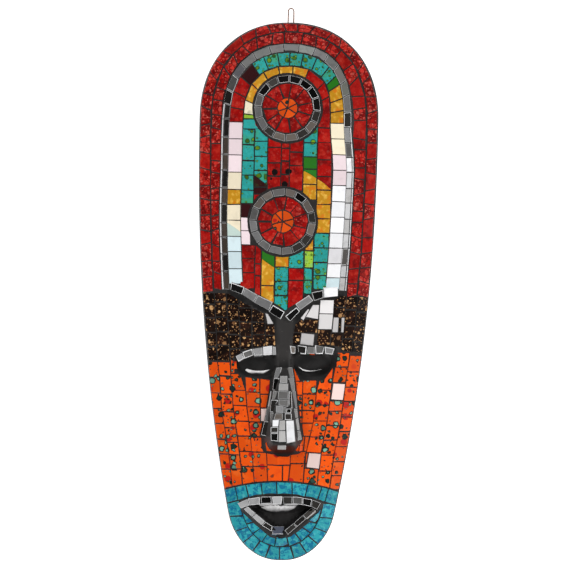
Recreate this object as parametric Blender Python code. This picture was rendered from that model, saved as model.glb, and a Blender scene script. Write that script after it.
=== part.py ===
"""A long carved wooden mask, hollow at the back, with a mosaic of glass and mirror tiles on its face.

The mask lies on the flat rim of its back with the face up. Metres, +Z out of the face, +Y towards the crown.
On the plan a spot is (x, down): x to the right as one looks at the face, down from the top of the mask.
"""

import math

import bmesh
import bpy
from mathutils import Vector
from mathutils.geometry import delaunay_2d_cdt

# The block of wood
LENGTH = 0.500
WIDTH = 0.1664
JAW_WIDTH = 0.0794
CROWN = 0.091
CHIN = 0.045
CROWN_ROUNDNESS = 2.2
CHIN_ROUNDNESS = 2.3
TAPER_CURVE = 2.2
EDGE_HEIGHT = 0.0160
DOME_RISE = 0.0260
DOME_CURVE = 2.2
DOME_PEAK = 0.35
DOME_FALL = 0.25

# The hollow back
RIM_WIDTH = 0.0120
HOLLOW_SLOPE = 0.0050
WALL = 0.0140

# The mosaic
TILE_THICKNESS = 0.0026
BED_GAP = 0.0003
JOINT = 0.0012
BARE_EDGE = 0.0006
OUTER_COURSE = 0.0102
BORDER = 0.0210
ARCH_COURSE = 0.0080

# The carving, as heights over the dome
PANEL_RISE = 0.0040
MEDALLION_RISE = 0.0020
BROW_RISE = 0.0020
SOCKET_DEPTH = 0.0080
LID_RISE = 0.0070
NOSE_RISE = 0.0200
LIP_RISE = 0.0030
MOUTH_DEPTH = 0.0080
TEETH_RISE = 0.0060
CHEEK_RISE = 0.0020

# The medallions
ROSETTE_RADIUS = 0.0240
RING_RADIUS = 0.0320
UPPER_MEDALLION = (-0.0015, 0.0805)
LOWER_MEDALLION = (-0.0040, 0.1855)

# The hanging wire and its two holes
WIRE_RADIUS = 0.0006
WIRE_SPREAD = 0.0052
WIRE_LOOP = 0.0140
WIRE_CLEARANCE = 0.0006
WIRE_TAIL = 0.0080
WIRE_IN_HOLLOW = 0.0020

# How finely the curved faces are cut into triangles
COARSE = 0.0160
FINE = 0.0050
CROWN_STEPS = 24
CHIN_STEPS = 14
RING_STEPS = 22
V_STEPS = 4

# The carving and the fields are drawn on a mask of this many units, and stretch with the real one
DRAWN_LENGTH = 500.0
DRAWN_WIDTH = 166.4
BORDER_END = 252.0
LEG_END = 249.5
LEFT_BROW_END = 315.5
RIGHT_BROW_END = 306.5
CHEEK_END = 435.5

# The wire's top counts in the whole part's box, whose middle is the origin
TOP_Y = (LENGTH - WIRE_LOOP) / 2
WIRE_HEIGHT = (EDGE_HEIGHT - TILE_THICKNESS) / 2


def drawn(*spots):
    """Spots of the drawing as spots of the mask."""
    return [
        Vector((x * WIDTH / DRAWN_WIDTH, down * LENGTH / DRAWN_LENGTH))
        for x, down in spots
    ]


def along(value):
    """A length of the drawing, measured down the mask."""
    return value * LENGTH / DRAWN_LENGTH


def across(value):
    """A length of the drawing, measured across the mask."""
    return value * WIDTH / DRAWN_WIDTH


def eased(low, high, value):
    """0 up to low, 1 from high on, with a smooth rise between."""
    t = min(1.0, max(0.0, (value - low) / (high - low)))
    return t * t * (3 - 2 * t)


def flank(down):
    """Half the mask's width at a height, before the crown and the chin round it off."""
    share = max(0.0, down - CROWN) / (LENGTH - CROWN)
    return WIDTH / 2 - (WIDTH - JAW_WIDTH) / 2 * share**TAPER_CURVE


def spine(down):
    """The nearest height on the line that the crown, the flanks and the chin are all measured from."""
    return min(max(down, CROWN), LENGTH - CHIN)


def fullness(x, down):
    """0 on the spine and 1 on the outline."""
    sideways = abs(x) / flank(down)
    if down < CROWN:
        power, endways = CROWN_ROUNDNESS, (CROWN - down) / CROWN
    elif down > LENGTH - CHIN:
        power, endways = CHIN_ROUNDNESS, (down - LENGTH + CHIN) / CHIN
    else:
        return sideways
    return (sideways**power + endways**power) ** (1 / power)


def depth_in(x, down):
    """How far inside the outline a spot is, measured towards the spine."""
    full = fullness(x, down)
    if full < 1e-6:
        return flank(down)
    return math.hypot(x, down - spine(down)) * (1 / full - 1)


def moved_in(spot, inset):
    """A spot of the outline, carried in towards the spine."""
    inwards = Vector((0, spine(spot.y))) - spot
    return spot + inwards.normalized() * inset


def rounded_end(radius, roundness, steps):
    """Offsets across and along a rounded end, from its left foot over the top to its right foot."""
    for step in range(1, steps):
        turn = math.pi * step / steps
        sideways = -math.copysign(abs(math.cos(turn)) ** (2 / roundness), math.cos(turn))
        yield sideways, radius * math.sin(turn) ** (2 / roundness)


def crown_line():
    return [
        Vector((sideways * WIDTH / 2, CROWN - up))
        for sideways, up in rounded_end(CROWN, CROWN_ROUNDNESS, CROWN_STEPS)
    ]


def chin_line():
    line = []
    for sideways, low in rounded_end(CHIN, CHIN_ROUNDNESS, CHIN_STEPS):
        down = LENGTH - CHIN + low
        line.append(Vector((sideways * flank(down), down)))
    return line


def side_line(side, start, end, inset=0.0, spacing=1.6 * COARSE):
    """Spots down a flank from start to end. side is -1 for the left one and 1 for the right one."""
    steps = max(1, round(abs(end - start) / spacing))
    downs = [start + (end - start) * step / steps for step in range(steps + 1)]
    return [Vector((side * (flank(down) - inset), down)) for down in downs]


def over_crown(inset, left_end, right_end):
    """A line at one inset from the left flank, over the crown and down the right flank."""
    return (
        side_line(-1, left_end, CROWN, inset)
        + [moved_in(spot, inset) for spot in crown_line()]
        + side_line(1, CROWN, right_end, inset)
    )


def round_chin(inset, left_end, right_end):
    """A line at one inset from the left flank, round the chin and up the right flank."""
    foot = LENGTH - CHIN
    return (
        side_line(-1, left_end, foot, inset)
        + [moved_in(spot, inset) for spot in chin_line()]
        + side_line(1, foot, right_end, inset)
    )


def outline():
    return band(crown_line(), round_chin(0.0, CROWN, CROWN))


def circle(centre, radius):
    turns = [2 * math.pi * step / RING_STEPS for step in range(RING_STEPS)]
    return [
        Vector((centre[0] + radius * math.cos(turn), centre[1] + radius * math.sin(turn)))
        for turn in turns
    ]


def twice_area(loop):
    return sum(
        loop[i - 1].x * here.y - here.x * loop[i - 1].y for i, here in enumerate(loop)
    )


def shrunk(loop, inset):
    """A closed line moved in all round, as half a grout joint takes from a field of tiles."""
    facing = math.copysign(1.0, twice_area(loop))
    moved = []
    for i, here in enumerate(loop):
        arriving = (here - loop[i - 1]).normalized()
        leaving = (loop[(i + 1) % len(loop)] - here).normalized()
        inwards = Vector((-arriving.y - leaving.y, arriving.x + leaving.x)) * facing
        sharpness = max(0.5, inwards.length / 2)
        moved.append(here + inwards.normalized() * inset / sharpness)
    return moved


def inside(loop, x, y):
    found = False
    for i, here in enumerate(loop):
        other = loop[i - 1]
        if (here.y > y) != (other.y > y):
            crossing = here.x + (other.x - here.x) * (y - here.y) / (other.y - here.y)
            if x < crossing:
                found = not found
    return found


def gap_to(loop, spot):
    """The distance from a spot to a closed line."""
    nearest = math.inf
    for i, here in enumerate(loop):
        run = here - loop[i - 1]
        share = (spot - loop[i - 1]).dot(run) / run.length_squared
        foot = loop[i - 1] + run * min(1.0, max(0.0, share))
        nearest = min(nearest, (spot - foot).length)
    return nearest


def v_span():
    """Half the width between the legs of the arch, where the V-shaped edge meets them."""
    return flank(along(LEG_END)) - BORDER - ARCH_COURSE


def v_edge(x, low):
    """The panel's V-shaped lower edge. low is True on the outer side of its mirrors, False on the inner."""
    tip, foot = (278.5, 251.0) if low else (268.5, 243.5)
    share = min(1.0, abs(x) / v_span())
    return along(tip - (tip - foot) * share**0.85)


def dome(x, down):
    rise = DOME_RISE * (1 - DOME_FALL * ((down / LENGTH - DOME_PEAK) / (1 - DOME_PEAK)) ** 2)
    return EDGE_HEIGHT + rise * (1 - min(1.0, fullness(x, down)) ** DOME_CURVE)


def panel(x, down):
    """The forehead panel stands up inside its arch of mirrors."""
    shoulder = eased(BORDER, BORDER + ARCH_COURSE, depth_in(x, down))
    edge = 1 - eased(v_edge(x, False), v_edge(x, True), down)
    return PANEL_RISE * shoulder * edge


def medallions(x, down):
    rise = 0.0
    for centre in (UPPER_MEDALLION, LOWER_MEDALLION):
        away = math.hypot(x - centre[0], down - centre[1])
        rise += MEDALLION_RISE * (1 - eased(0.6 * RING_RADIUS, RING_RADIUS, away))
    return rise


def eye(x, down):
    """A hollow socket under the brow with the closed lid swelling in it."""
    height = 0.0
    for side, socket, lid_middle in ((-1, 318.0, 316.5), (1, 316.5, 313.5)):
        away = math.hypot(
            (x - across(side * 26.5)) / across(22.0), (down - along(socket)) / along(13.5)
        )
        height -= SOCKET_DEPTH * (1 - eased(0.45, 1.0, away))
        lid = math.hypot(
            (x - across(side * 25.0)) / across(18.0), (down - along(lid_middle)) / along(11.0)
        )
        height += LID_RISE * math.sqrt(max(0.0, 1 - lid * lid))
    return height


def brow(x, down):
    """The ridge that carries the eyebrow mirrors."""
    ridge = along(304.5) + along(7.0) * max(0.0, -x / across(46.0)) ** 2
    near = 1 - eased(0.0, along(7.0), abs(down - ridge))
    return BROW_RISE * near * (1 - eased(across(44.0), across(54.0), abs(x)))


def nose(x, down):
    """A wedge that grows from between the brows to a blunt tip, and drops back under it."""
    growing = eased(along(272.0), along(320.0), down) * 0.34
    growing += eased(along(318.0), along(386.0), down) * 0.66
    under = 1 - eased(along(389.0), along(402.5), down)
    wide = max(0.0, min(1.0, (down - along(320.0)) / along(64.0)))
    ridge = across(3.0 + 5.0 * wide)
    foot = across(9.5 + 11.5 * wide)
    return NOSE_RISE * growing * under * (1 - eased(ridge, foot, abs(x)))


def mouth_head(x):
    return along(439.5) + along(7.0) * (x / across(40.0)) ** 2


def mouth_foot(x):
    share = min(1.0, abs(x) / across(42.0))
    return along(481.0) - along(33.0) * share**1.15


def mouth(x, down):
    """A ridge of lips round a hollow, with a swelling row of teeth under the upper lip."""
    head, foot = mouth_head(x), mouth_foot(x)
    inside_top = eased(head + along(5.5), head + along(9.0), down)
    inside_bottom = 1 - eased(foot - along(14.0), foot - along(6.0), down)
    hollow = inside_top * inside_bottom * (1 - eased(across(26.0), across(36.0), abs(x)))
    lips = eased(head - along(5.0), head + along(3.0), down)
    lips *= 1 - eased(foot - along(5.0), foot + along(6.0), down)
    lips *= 1 - eased(across(34.0), across(44.0), abs(x))
    teeth = math.hypot((x + across(1.5)) / across(22.0), (down - along(447.5)) / along(8.0))
    row = TEETH_RISE * math.sqrt(max(0.0, 1 - teeth * teeth))
    return LIP_RISE * lips * (1 - hollow) - (MOUTH_DEPTH - row) * hollow


def cheeks(x, down):
    away = math.hypot((abs(x) - across(36.0)) / across(24.0), (down - along(362.0)) / along(40.0))
    return CHEEK_RISE * (1 - eased(0.0, 1.0, away))


def face_height(x, down):
    """The finished face: the tops of the tiles, and the painted wood where it is bare."""
    return (
        dome(x, down)
        + panel(x, down)
        + medallions(x, down)
        + eye(x, down)
        + brow(x, down)
        + nose(x, down)
        + mouth(x, down)
        + cheeks(x, down)
    )


def hollow_height(x, down):
    """The roof of the hollow back, a wall's thickness under the tiles of the plain dome."""
    return dome(x, down) - TILE_THICKNESS - WALL


def traced(height_of, *stations):
    """A line drawn across the mask, whose height down it follows a function."""
    return [Vector((across(x), height_of(across(x)))) for x in stations]


def other_side(line):
    """The same line on the right half of the mask."""
    return [Vector((-spot.x, spot.y)) for spot in line]


def band(outer, inner):
    """A closed line round the strip between two lines that run the same way."""
    return outer + list(reversed(inner))


def brow_head():
    return drawn((-52, 252.5), (-40, 260), (-28, 266), (-17, 271.5), (-9.5, 280))


def left_brow_foot():
    return drawn((-7.5, 300.5), (-26, 302.5), (-38, 307), (-47, 312), (-49, 315.5))


def right_brow_foot():
    return drawn((6.5, 299.5), (26, 299.5), (46, 299.5), (50, 303.5))


def left_nose_side():
    return drawn((-8.5, 320), (-12.5, 340), (-15.5, 360), (-20.5, 384))


def right_nose_side():
    return drawn((8.5, 320), (11.5, 342), (15, 365), (18.5, 386.5))


def chin_head():
    return traced(lambda x: along(426) + along(9) * (x / across(54)) ** 2, -40, -27, -14, 0, 14, 27, 40)


def forehead_fields():
    """The two courses of the border, the arch of mirrors, the panel inside it and its V-shaped lower edge."""
    border_end, leg_end = along(BORDER_END), along(LEG_END)
    lines = [
        over_crown(inset, border_end, border_end) for inset in (BARE_EDGE, OUTER_COURSE, BORDER)
    ]
    legs = [over_crown(inset, leg_end, leg_end) for inset in (BORDER, BORDER + ARCH_COURSE)]
    shares = [step / V_STEPS for step in range(-V_STEPS, V_STEPS + 1)]
    v_inner, v_outer = (
        [Vector((share * v_span(), v_edge(share * v_span(), low))) for share in shares]
        for low in (False, True)
    )
    inner_end = v_edge(v_span(), False)
    panel_arch = over_crown(BORDER + ARCH_COURSE, inner_end, inner_end)
    medallions = [circle(centre, RING_RADIUS) for centre in (UPPER_MEDALLION, LOWER_MEDALLION)]
    return {
        "border_outer_course": (band(lines[0], lines[1]), []),
        "border_inner_course": (band(lines[1], lines[2]), []),
        "arch_mirror_course": (band(legs[0], legs[1]), []),
        "panel_glass_field": (band(panel_arch, v_inner[1:-1]), medallions),
        "v_edge_mirrors": (band(v_inner, v_outer), []),
    }


def medallion_fields():
    """A ring of mirrors round each rosette."""
    made = {}
    for name, centre in (("upper", UPPER_MEDALLION), ("lower", LOWER_MEDALLION)):
        rosette = circle(centre, ROSETTE_RADIUS)
        made[f"{name}_medallion_mirror_ring"] = (circle(centre, RING_RADIUS), [rosette])
        made[f"{name}_medallion_rosette"] = (rosette, [])
    return made


def brow_fields():
    """The dark speckled bands beside the bridge of the nose, and the eyebrows under them."""
    border_end = along(BORDER_END)
    left_end = side_line(-1, along(LEFT_BROW_END), border_end, BARE_EDGE)
    right_end = side_line(1, along(RIGHT_BROW_END), border_end, BARE_EDGE)
    left_eyebrow_foot = drawn((-42, 315.5), (-37, 313), (-27, 310), (-7.5, 308.5))
    right_eyebrow_foot = drawn((46, 307.5), (26, 307.5), (5.5, 307.5))
    return {
        "left_brow_field": (left_end + brow_head() + left_brow_foot(), []),
        "right_brow_field": (right_end + other_side(brow_head()) + right_brow_foot(), []),
        "left_eyebrow_mirrors": (left_brow_foot()[:4] + left_eyebrow_foot, []),
        "right_eyebrow_mirrors": (right_brow_foot()[:3] + right_eyebrow_foot, []),
    }


def nose_and_cheek_fields():
    """The mirrors over the nose, and the orange field round it, which meets below the nose."""
    nose_foot = drawn((-11, 387.5), (-4.5, 390), (-4.5, 396.5), (4, 396.5), (4, 390.5), (11, 390.5))
    nose_right = list(reversed(right_nose_side()))
    left_lid_foot = drawn((-43.5, 315), (-42, 327), (-36, 329), (-12, 331.5))
    under_nose = drawn((-9, 400), (-5, 403), (5, 403), (9.5, 401))
    right_lid_foot = drawn((15.5, 331.5), (37, 331), (48.5, 318.5), (50, 306.5))
    cheek_end = along(CHEEK_END)
    return {
        "nose_mirrors": (left_nose_side() + nose_foot + nose_right, []),
        "cheek_field": (
            side_line(-1, cheek_end, along(LEFT_BROW_END), BARE_EDGE)
            + left_lid_foot
            + left_nose_side()[2:]
            + under_nose
            + nose_right
            + right_lid_foot
            + side_line(1, along(RIGHT_BROW_END), cheek_end, BARE_EDGE)
            + list(reversed(chin_head())),
            [],
        ),
    }


def mouth_fields():
    """The turquoise chin round the mouth, and the mirrors on its lips."""
    cheek_end = along(CHEEK_END)
    mouth_line = traced(lambda x: mouth_head(x) - along(0.6), -41, -27, -14, 0, 14, 27, 39)
    mouth_line += traced(mouth_foot, 39, 30, 20, 10, 0, -10, -20, -30, -41)
    upper_lip = traced(mouth_head, -37, -26, -13, 0, 13, 26, 35)
    lip_foot = traced(
        lambda x: mouth_head(x) + along(7.6) - 0.05 * abs(x), -37, -26, -13, 0, 13, 26, 35
    )
    lower_lip_foot = drawn((-34.5, 453.5), (-9.5, 473), (-7.5, 475), (5, 475), (7.5, 473.5), (32.5, 453.5))
    lower_lip_head = drawn((-30, 450.5), (-6.5, 468), (4, 468), (28.5, 450.5))
    return {
        "chin_field": (band(round_chin(BARE_EDGE, cheek_end, cheek_end), chin_head()), [mouth_line]),
        "upper_lip_mirrors": (band(upper_lip, lip_foot), []),
        "lower_lip_mirrors": (band(lower_lip_foot, lower_lip_head), []),
    }


def bare_lines():
    """Lines that the carving of the bare wood needs: the bridge, the eyes, under the nose and the mouth."""
    bridge = drawn((-6, 281), (6, 281), (4.5, 298), (4, 318), (-4, 318), (-5.5, 300))
    left_eye = drawn((-40, 317.5), (-30, 313), (-10, 311), (-9.5, 322), (-13, 329.5), (-35, 327), (-40, 325))
    right_eye = drawn((9.5, 310), (46, 309.5), (46, 317), (36.5, 328.5), (17, 329), (10.5, 320))
    nose_base = drawn(
        (-17, 387.5), (-6.5, 392), (-6, 398.5), (5.5, 398.5), (6, 392.5), (15, 389), (8, 399), (-8, 399)
    )
    mouth_hollow = drawn(
        (-28, 451), (-14, 449.5), (0, 449), (14, 449.5), (26, 451), (3, 466.5), (-5.5, 466.5)
    )
    return [bridge, left_eye, right_eye, nose_base, mouth_hollow]


def filling(loops, bounds, spacing, fine_boxes=()):
    """Spots on a staggered grid inside the outline, clear of every line and of the finely cut boxes."""
    spots = []
    (x0, d0), (x1, d1) = bounds
    rows = math.ceil((d1 - d0) / (spacing * 0.866))
    for row in range(rows + 1):
        down = d0 + row * spacing * 0.866
        columns = math.ceil((x1 - x0) / spacing)
        for column in range(columns + 1):
            spot = Vector((x0 + (column + 0.5 * (row % 2)) * spacing, down))
            if fullness(*spot) > 1 or depth_in(*spot) < 0.6 * spacing:
                continue
            if any(a[0] < spot.x < b[0] and a[1] < spot.y < b[1] for a, b in fine_boxes):
                continue
            if all(gap_to(loop, spot) > 0.42 * spacing for loop in loops):
                spots.append(spot)
    return spots


def cut_up(loops, spots):
    """The plan cut into triangles whose edges follow every line."""
    points, edges = [], []
    for loop in loops:
        first = len(points)
        points += loop
        edges += [(first + i, first + (i + 1) % len(loop)) for i in range(len(loop))]
    flat = delaunay_2d_cdt(points + spots, edges, [], 0, 1e-6)
    return flat[0], [tuple(face) for face in flat[2]]


def new_object(name, mesh_data, colour, roughness, metallic=0.0):
    body = bpy.data.objects.new(name, mesh_data)
    bpy.context.scene.collection.objects.link(body)
    finish = bpy.data.materials.new(name)
    finish.use_nodes = True
    shader = finish.node_tree.nodes["Principled BSDF"]
    shader.inputs["Base Color"].default_value = (*colour, 1.0)
    shader.inputs["Roughness"].default_value = roughness
    shader.inputs["Metallic"].default_value = metallic
    mesh_data.materials.append(finish)
    return body


def closed_mesh(name, points, faces):
    """A mesh of the faces, with its loose points dropped and its normals facing out."""
    form = bmesh.new()
    corners = [form.verts.new(point) for point in points]
    for face in faces:
        form.faces.new([corners[i] for i in face])
    loose = [corner for corner in form.verts if not corner.link_faces]
    bmesh.ops.delete(form, geom=loose, context="VERTS")
    bmesh.ops.recalc_face_normals(form, faces=form.faces)
    mesh_data = bpy.data.meshes.new(name)
    form.to_mesh(mesh_data)
    form.free()
    mesh_data.shade_smooth()
    mesh_data.set_sharp_from_angle(angle=math.radians(35))
    return mesh_data


def lifted(spot, height):
    return (spot.x, TOP_Y - spot.y, height)


def open_edges(triangles):
    """The edges that only one triangle has, in that triangle's direction."""
    sides = {
        (triangle[i - 1], triangle[i]) for triangle in triangles for i in range(3)
    }
    return [(a, b) for a, b in sides if (b, a) not in sides]


def tile_field(name, spots, triangles, heights, colour, roughness, metallic):
    """A field of tiles of one thickness over the carved wood, with a thin bed under it."""
    count = len(spots)
    points = [lifted(spot, height) for spot, height in zip(spots, heights)]
    bed = TILE_THICKNESS - BED_GAP
    points += [(x, y, height - bed) for x, y, height in points]
    faces = [tuple(triangle) for triangle in triangles]
    faces += [tuple(i + count for i in reversed(triangle)) for triangle in triangles]
    faces += [(a + count, b + count, b, a) for a, b in open_edges(triangles)]
    return new_object(name, closed_mesh(name, points, faces), colour, roughness, metallic)


def mask_body(spots, triangles, heights, edge):
    """The carved wood: its face, the upright edge, the flat rim and the hollow back."""
    rim = [moved_in(spot, RIM_WIDTH) for spot in edge]
    roof = [moved_in(spot, RIM_WIDTH + HOLLOW_SLOPE) for spot in edge]
    box = ((-WIDTH / 2, 0.0), (WIDTH / 2, LENGTH))
    inner = [
        spot
        for spot in filling([edge, roof], box, 1.7 * COARSE)
        if inside(roof, spot.x, spot.y)
    ]
    back_spots, back_triangles = cut_up([edge, rim, roof], inner)
    back_heights = [
        hollow_height(spot.x, spot.y)
        if inside(roof, spot.x, spot.y) or gap_to(roof, spot) < 1e-5
        else 0.0
        for spot in back_spots
    ]
    count = len(spots)
    points = [lifted(spot, height) for spot, height in zip(spots, heights)]
    points += [lifted(spot, height) for spot, height in zip(back_spots, back_heights)]
    faces = list(triangles)
    faces += [tuple(i + count for i in reversed(triangle)) for triangle in back_triangles]
    # Both sheets begin with the same outline, so each of its spots has one number in both
    faces += [(count + a, count + b, b, a) for a, b in open_edges(triangles)]
    body = new_object("mask_body", closed_mesh("mask_body", points, faces), *FINISHES["wood"])
    for side in (-1, 1):
        cut_wire_hole(body, side)
    return body


def cut_wire_hole(body, side):
    """A hole through the crown's wall for one strand of the wire."""
    depth = 2 * (RIM_WIDTH + HOLLOW_SLOPE + WIRE_IN_HOLLOW)
    drill = bmesh.new()
    radius = WIRE_RADIUS + WIRE_CLEARANCE
    bmesh.ops.create_cone(drill, cap_ends=True, segments=10, radius1=radius, radius2=radius, depth=depth)
    drill_mesh = bpy.data.meshes.new("wire_drill")
    drill.to_mesh(drill_mesh)
    drill.free()
    cutter = bpy.data.objects.new("wire_drill", drill_mesh)
    bpy.context.scene.collection.objects.link(cutter)
    cutter.rotation_euler = (math.pi / 2, 0, 0)
    cutter.location = (side * WIRE_SPREAD / 2, TOP_Y, WIRE_HEIGHT)
    cutter.hide_render = True
    cutter.display_type = "WIRE"
    hole = body.modifiers.new("wire_hole", "BOOLEAN")
    hole.operation = "DIFFERENCE"
    hole.object = cutter


def hanging_wire():
    """One wire bent to a narrow loop over the crown. Inside the hollow its ends turn outwards."""
    inner_end = TOP_Y - RIM_WIDTH - HOLLOW_SLOPE - WIRE_IN_HOLLOW
    reach = WIRE_SPREAD / 2
    bend = TOP_Y + WIRE_LOOP - WIRE_RADIUS - reach
    half = [(reach + WIRE_TAIL, inner_end), (reach + 2 * WIRE_RADIUS, inner_end)]
    half += [(reach, inner_end + 2 * WIRE_RADIUS), (reach, bend)]
    turns = [math.pi * step / 8 for step in range(1, 8)]
    over = [(reach * math.cos(turn), bend + reach * math.sin(turn)) for turn in turns]
    path = half + over + [(-x, y) for x, y in reversed(half)]
    curve = bpy.data.curves.new("hanging_wire", "CURVE")
    curve.dimensions = "3D"
    curve.bevel_depth = WIRE_RADIUS
    curve.bevel_resolution = 2
    curve.use_fill_caps = True
    strand = curve.splines.new("POLY")
    strand.points.add(len(path) - 1)
    for point, (x, y) in zip(strand.points, path):
        point.co = (x, y, WIRE_HEIGHT, 1.0)
    return new_object("hanging_wire", curve, *FINISHES["wire"])


# Base colour, roughness and metallic value of what each node's name holds
FINISHES = {
    "wood": ((0.02, 0.02, 0.02), 0.35, 0.0),
    "wire": ((0.55, 0.27, 0.14), 0.35, 1.0),
    "border": ((0.42, 0.02, 0.03), 0.12, 0.0),
    "mirror": ((0.75, 0.75, 0.76), 0.05, 1.0),
    "panel": ((0.10, 0.52, 0.50), 0.12, 0.0),
    "rosette": ((0.48, 0.02, 0.02), 0.12, 0.0),
    "brow_field": ((0.05, 0.03, 0.02), 0.12, 0.0),
    "cheek": ((0.80, 0.14, 0.02), 0.12, 0.0),
    "chin": ((0.05, 0.45, 0.50), 0.12, 0.0),
}


def finish_of(name):
    return next(finish for word, finish in FINISHES.items() if word in name)


def finely_cut_boxes():
    """The eyes, the nose and the mouth, whose carving needs small triangles."""
    return [
        drawn((-50, 280), (50, 333)),
        drawn((-24, 318), (24, 406)),
        drawn((-42, 434), (42, 484)),
    ]


def plan(lines):
    """The whole face cut into triangles that follow every line of the drawing."""
    boxes = finely_cut_boxes()
    spots = filling(lines, ((-WIDTH / 2, 0.0), (WIDTH / 2, LENGTH)), COARSE, boxes)
    for low, high in boxes:
        for spot in filling(lines, (low, high), FINE):
            if all((spot - other).length > 0.5 * FINE for other in spots):
                spots.append(spot)
    return cut_up(lines, spots)


def build():
    for left_over in list(bpy.data.objects):
        bpy.data.objects.remove(left_over, do_unlink=True)
    edge = outline()
    fields = forehead_fields() | medallion_fields() | brow_fields()
    fields |= nose_and_cheek_fields() | mouth_fields()
    laid = {
        name: (shrunk(loop, JOINT / 2), [shrunk(hole, -JOINT / 2) for hole in holes])
        for name, (loop, holes) in fields.items()
    }
    lines = [edge] + bare_lines()
    for loop, holes in laid.values():
        lines += [loop] + holes
    points, triangles = plan(lines)
    heights = [face_height(*point) for point in points]
    middles = [sum((points[i] for i in triangle), Vector((0, 0))) / 3 for triangle in triangles]
    tiled = set()
    for name, (loop, holes) in laid.items():
        chosen = [
            triangle
            for triangle, middle in zip(triangles, middles)
            if inside(loop, *middle) and not any(inside(hole, *middle) for hole in holes)
        ]
        tiled.update(i for triangle in chosen for i in triangle)
        tile_field(name, points, chosen, heights, *finish_of(name))
    tiled.update(range(len(edge)))
    wood = [height - TILE_THICKNESS if i in tiled else height for i, height in enumerate(heights)]
    on_mask = [
        triangle for triangle, middle in zip(triangles, middles) if inside(edge, *middle)
    ]
    mask_body(points, on_mask, wood, edge)
    hanging_wire()


build()
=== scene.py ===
import math
import random

import bmesh
import bpy
import numpy as np
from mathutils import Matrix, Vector
from mathutils.geometry import delaunay_2d_cdt


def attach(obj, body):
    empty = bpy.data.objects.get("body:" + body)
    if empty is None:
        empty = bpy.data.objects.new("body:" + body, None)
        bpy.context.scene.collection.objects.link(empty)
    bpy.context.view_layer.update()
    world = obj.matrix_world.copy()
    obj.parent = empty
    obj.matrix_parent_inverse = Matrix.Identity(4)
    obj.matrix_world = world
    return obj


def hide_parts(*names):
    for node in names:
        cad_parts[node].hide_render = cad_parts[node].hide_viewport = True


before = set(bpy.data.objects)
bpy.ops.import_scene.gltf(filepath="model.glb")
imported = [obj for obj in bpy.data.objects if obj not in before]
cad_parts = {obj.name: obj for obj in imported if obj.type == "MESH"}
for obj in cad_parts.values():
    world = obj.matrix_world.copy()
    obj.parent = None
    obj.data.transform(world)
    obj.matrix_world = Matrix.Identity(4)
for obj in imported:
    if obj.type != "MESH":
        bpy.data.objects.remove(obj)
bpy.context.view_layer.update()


# The carved wood. One block of light softwood, shaped as a long face, hollowed from behind and painted black.
# On the plan a spot is (x, down): x to the right and down from the crown, in millimetres. Its relief is the
# height of the tiles' faces, and the wood lies a little lower between them.
LENGTH, WIDTH, JAW_WIDTH = 500, 166.4, 79.4
CROWN, CHIN = 91, 45
CROWN_ROUNDNESS, CHIN_ROUNDNESS, TAPER_CURVE, DOME_CURVE = 2.2, 2.3, 2.2, 2.2
EDGE_HEIGHT, DOME_RISE, DOME_PEAK, DOME_FALL = 16, 26, 0.35, 0.25
PANEL_RISE, MEDALLION_RISE, BROW_RISE, CHEEK_RISE = 4, 2, 2, 2
SOCKET_DEPTH, LID_RISE, NOSE_RISE = 8, 7, 20
LIP_RISE, MOUTH_DEPTH, TEETH_RISE = 3, 8, 6
BORDER, ARCH_COURSE, RING_RADIUS = 21, 8, 32
UPPER_MEDALLION, LOWER_MEDALLION = (-1.5, 80.5), (-4, 185.5)
RIM_WIDTH, HOLLOW_SLOPE, WALL = 12, 5, 14
TILE_THICKNESS, GROUT_DEPTH = 2.6, 0.6
TOP_Y = 0.243
COLUMNS = 112


def trace(numbers):
    """A line of spots, from x and down of each in turn."""
    numbers = [float(number) for number in numbers.split()]
    return list(zip(numbers[::2], numbers[1::2]))


def eased(low, high, value):
    """0 up to low, 1 from high on, with a smooth rise between."""
    share = np.clip((value - low) / (high - low), 0, 1)
    return share * share * (3 - 2 * share)


def flank(down):
    """Half the mask's width, before the crown and the chin round it off."""
    share = np.maximum(0, down - CROWN) / (LENGTH - CROWN)
    return WIDTH / 2 - (WIDTH - JAW_WIDTH) / 2 * share**TAPER_CURVE


def fullness(x, down):
    """0 on the line from crown to chin that all is measured from, and 1 on the outline."""
    sideways = np.abs(x) / flank(down)
    up = np.maximum(0, CROWN - down) / CROWN
    low = np.maximum(0, down - LENGTH + CHIN) / CHIN
    rounds = ((up, CROWN_ROUNDNESS), (low, CHIN_ROUNDNESS))
    return np.maximum(*((sideways**power + end**power) ** (1 / power) for end, power in rounds))


def depth_in(x, down):
    """How far inside the outline a spot is."""
    x = np.maximum(np.abs(x), 0.01)
    return np.hypot(x, down - np.clip(down, CROWN, LENGTH - CHIN)) * (1 / fullness(x, down) - 1)


def dome(x, down):
    rise = DOME_RISE * (1 - DOME_FALL * ((down / LENGTH - DOME_PEAK) / (1 - DOME_PEAK)) ** 2)
    return EDGE_HEIGHT + rise * (1 - np.minimum(1, fullness(x, down)) ** DOME_CURVE)


def v_edge(x, low):
    """The V-shaped lower edge of the forehead panel, on the outer or the inner side of its mirrors."""
    tip, foot = (278.5, 251) if low else (268.5, 243.5)
    return tip - (tip - foot) * np.minimum(1, np.abs(x) / 48.8) ** 0.85


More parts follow.
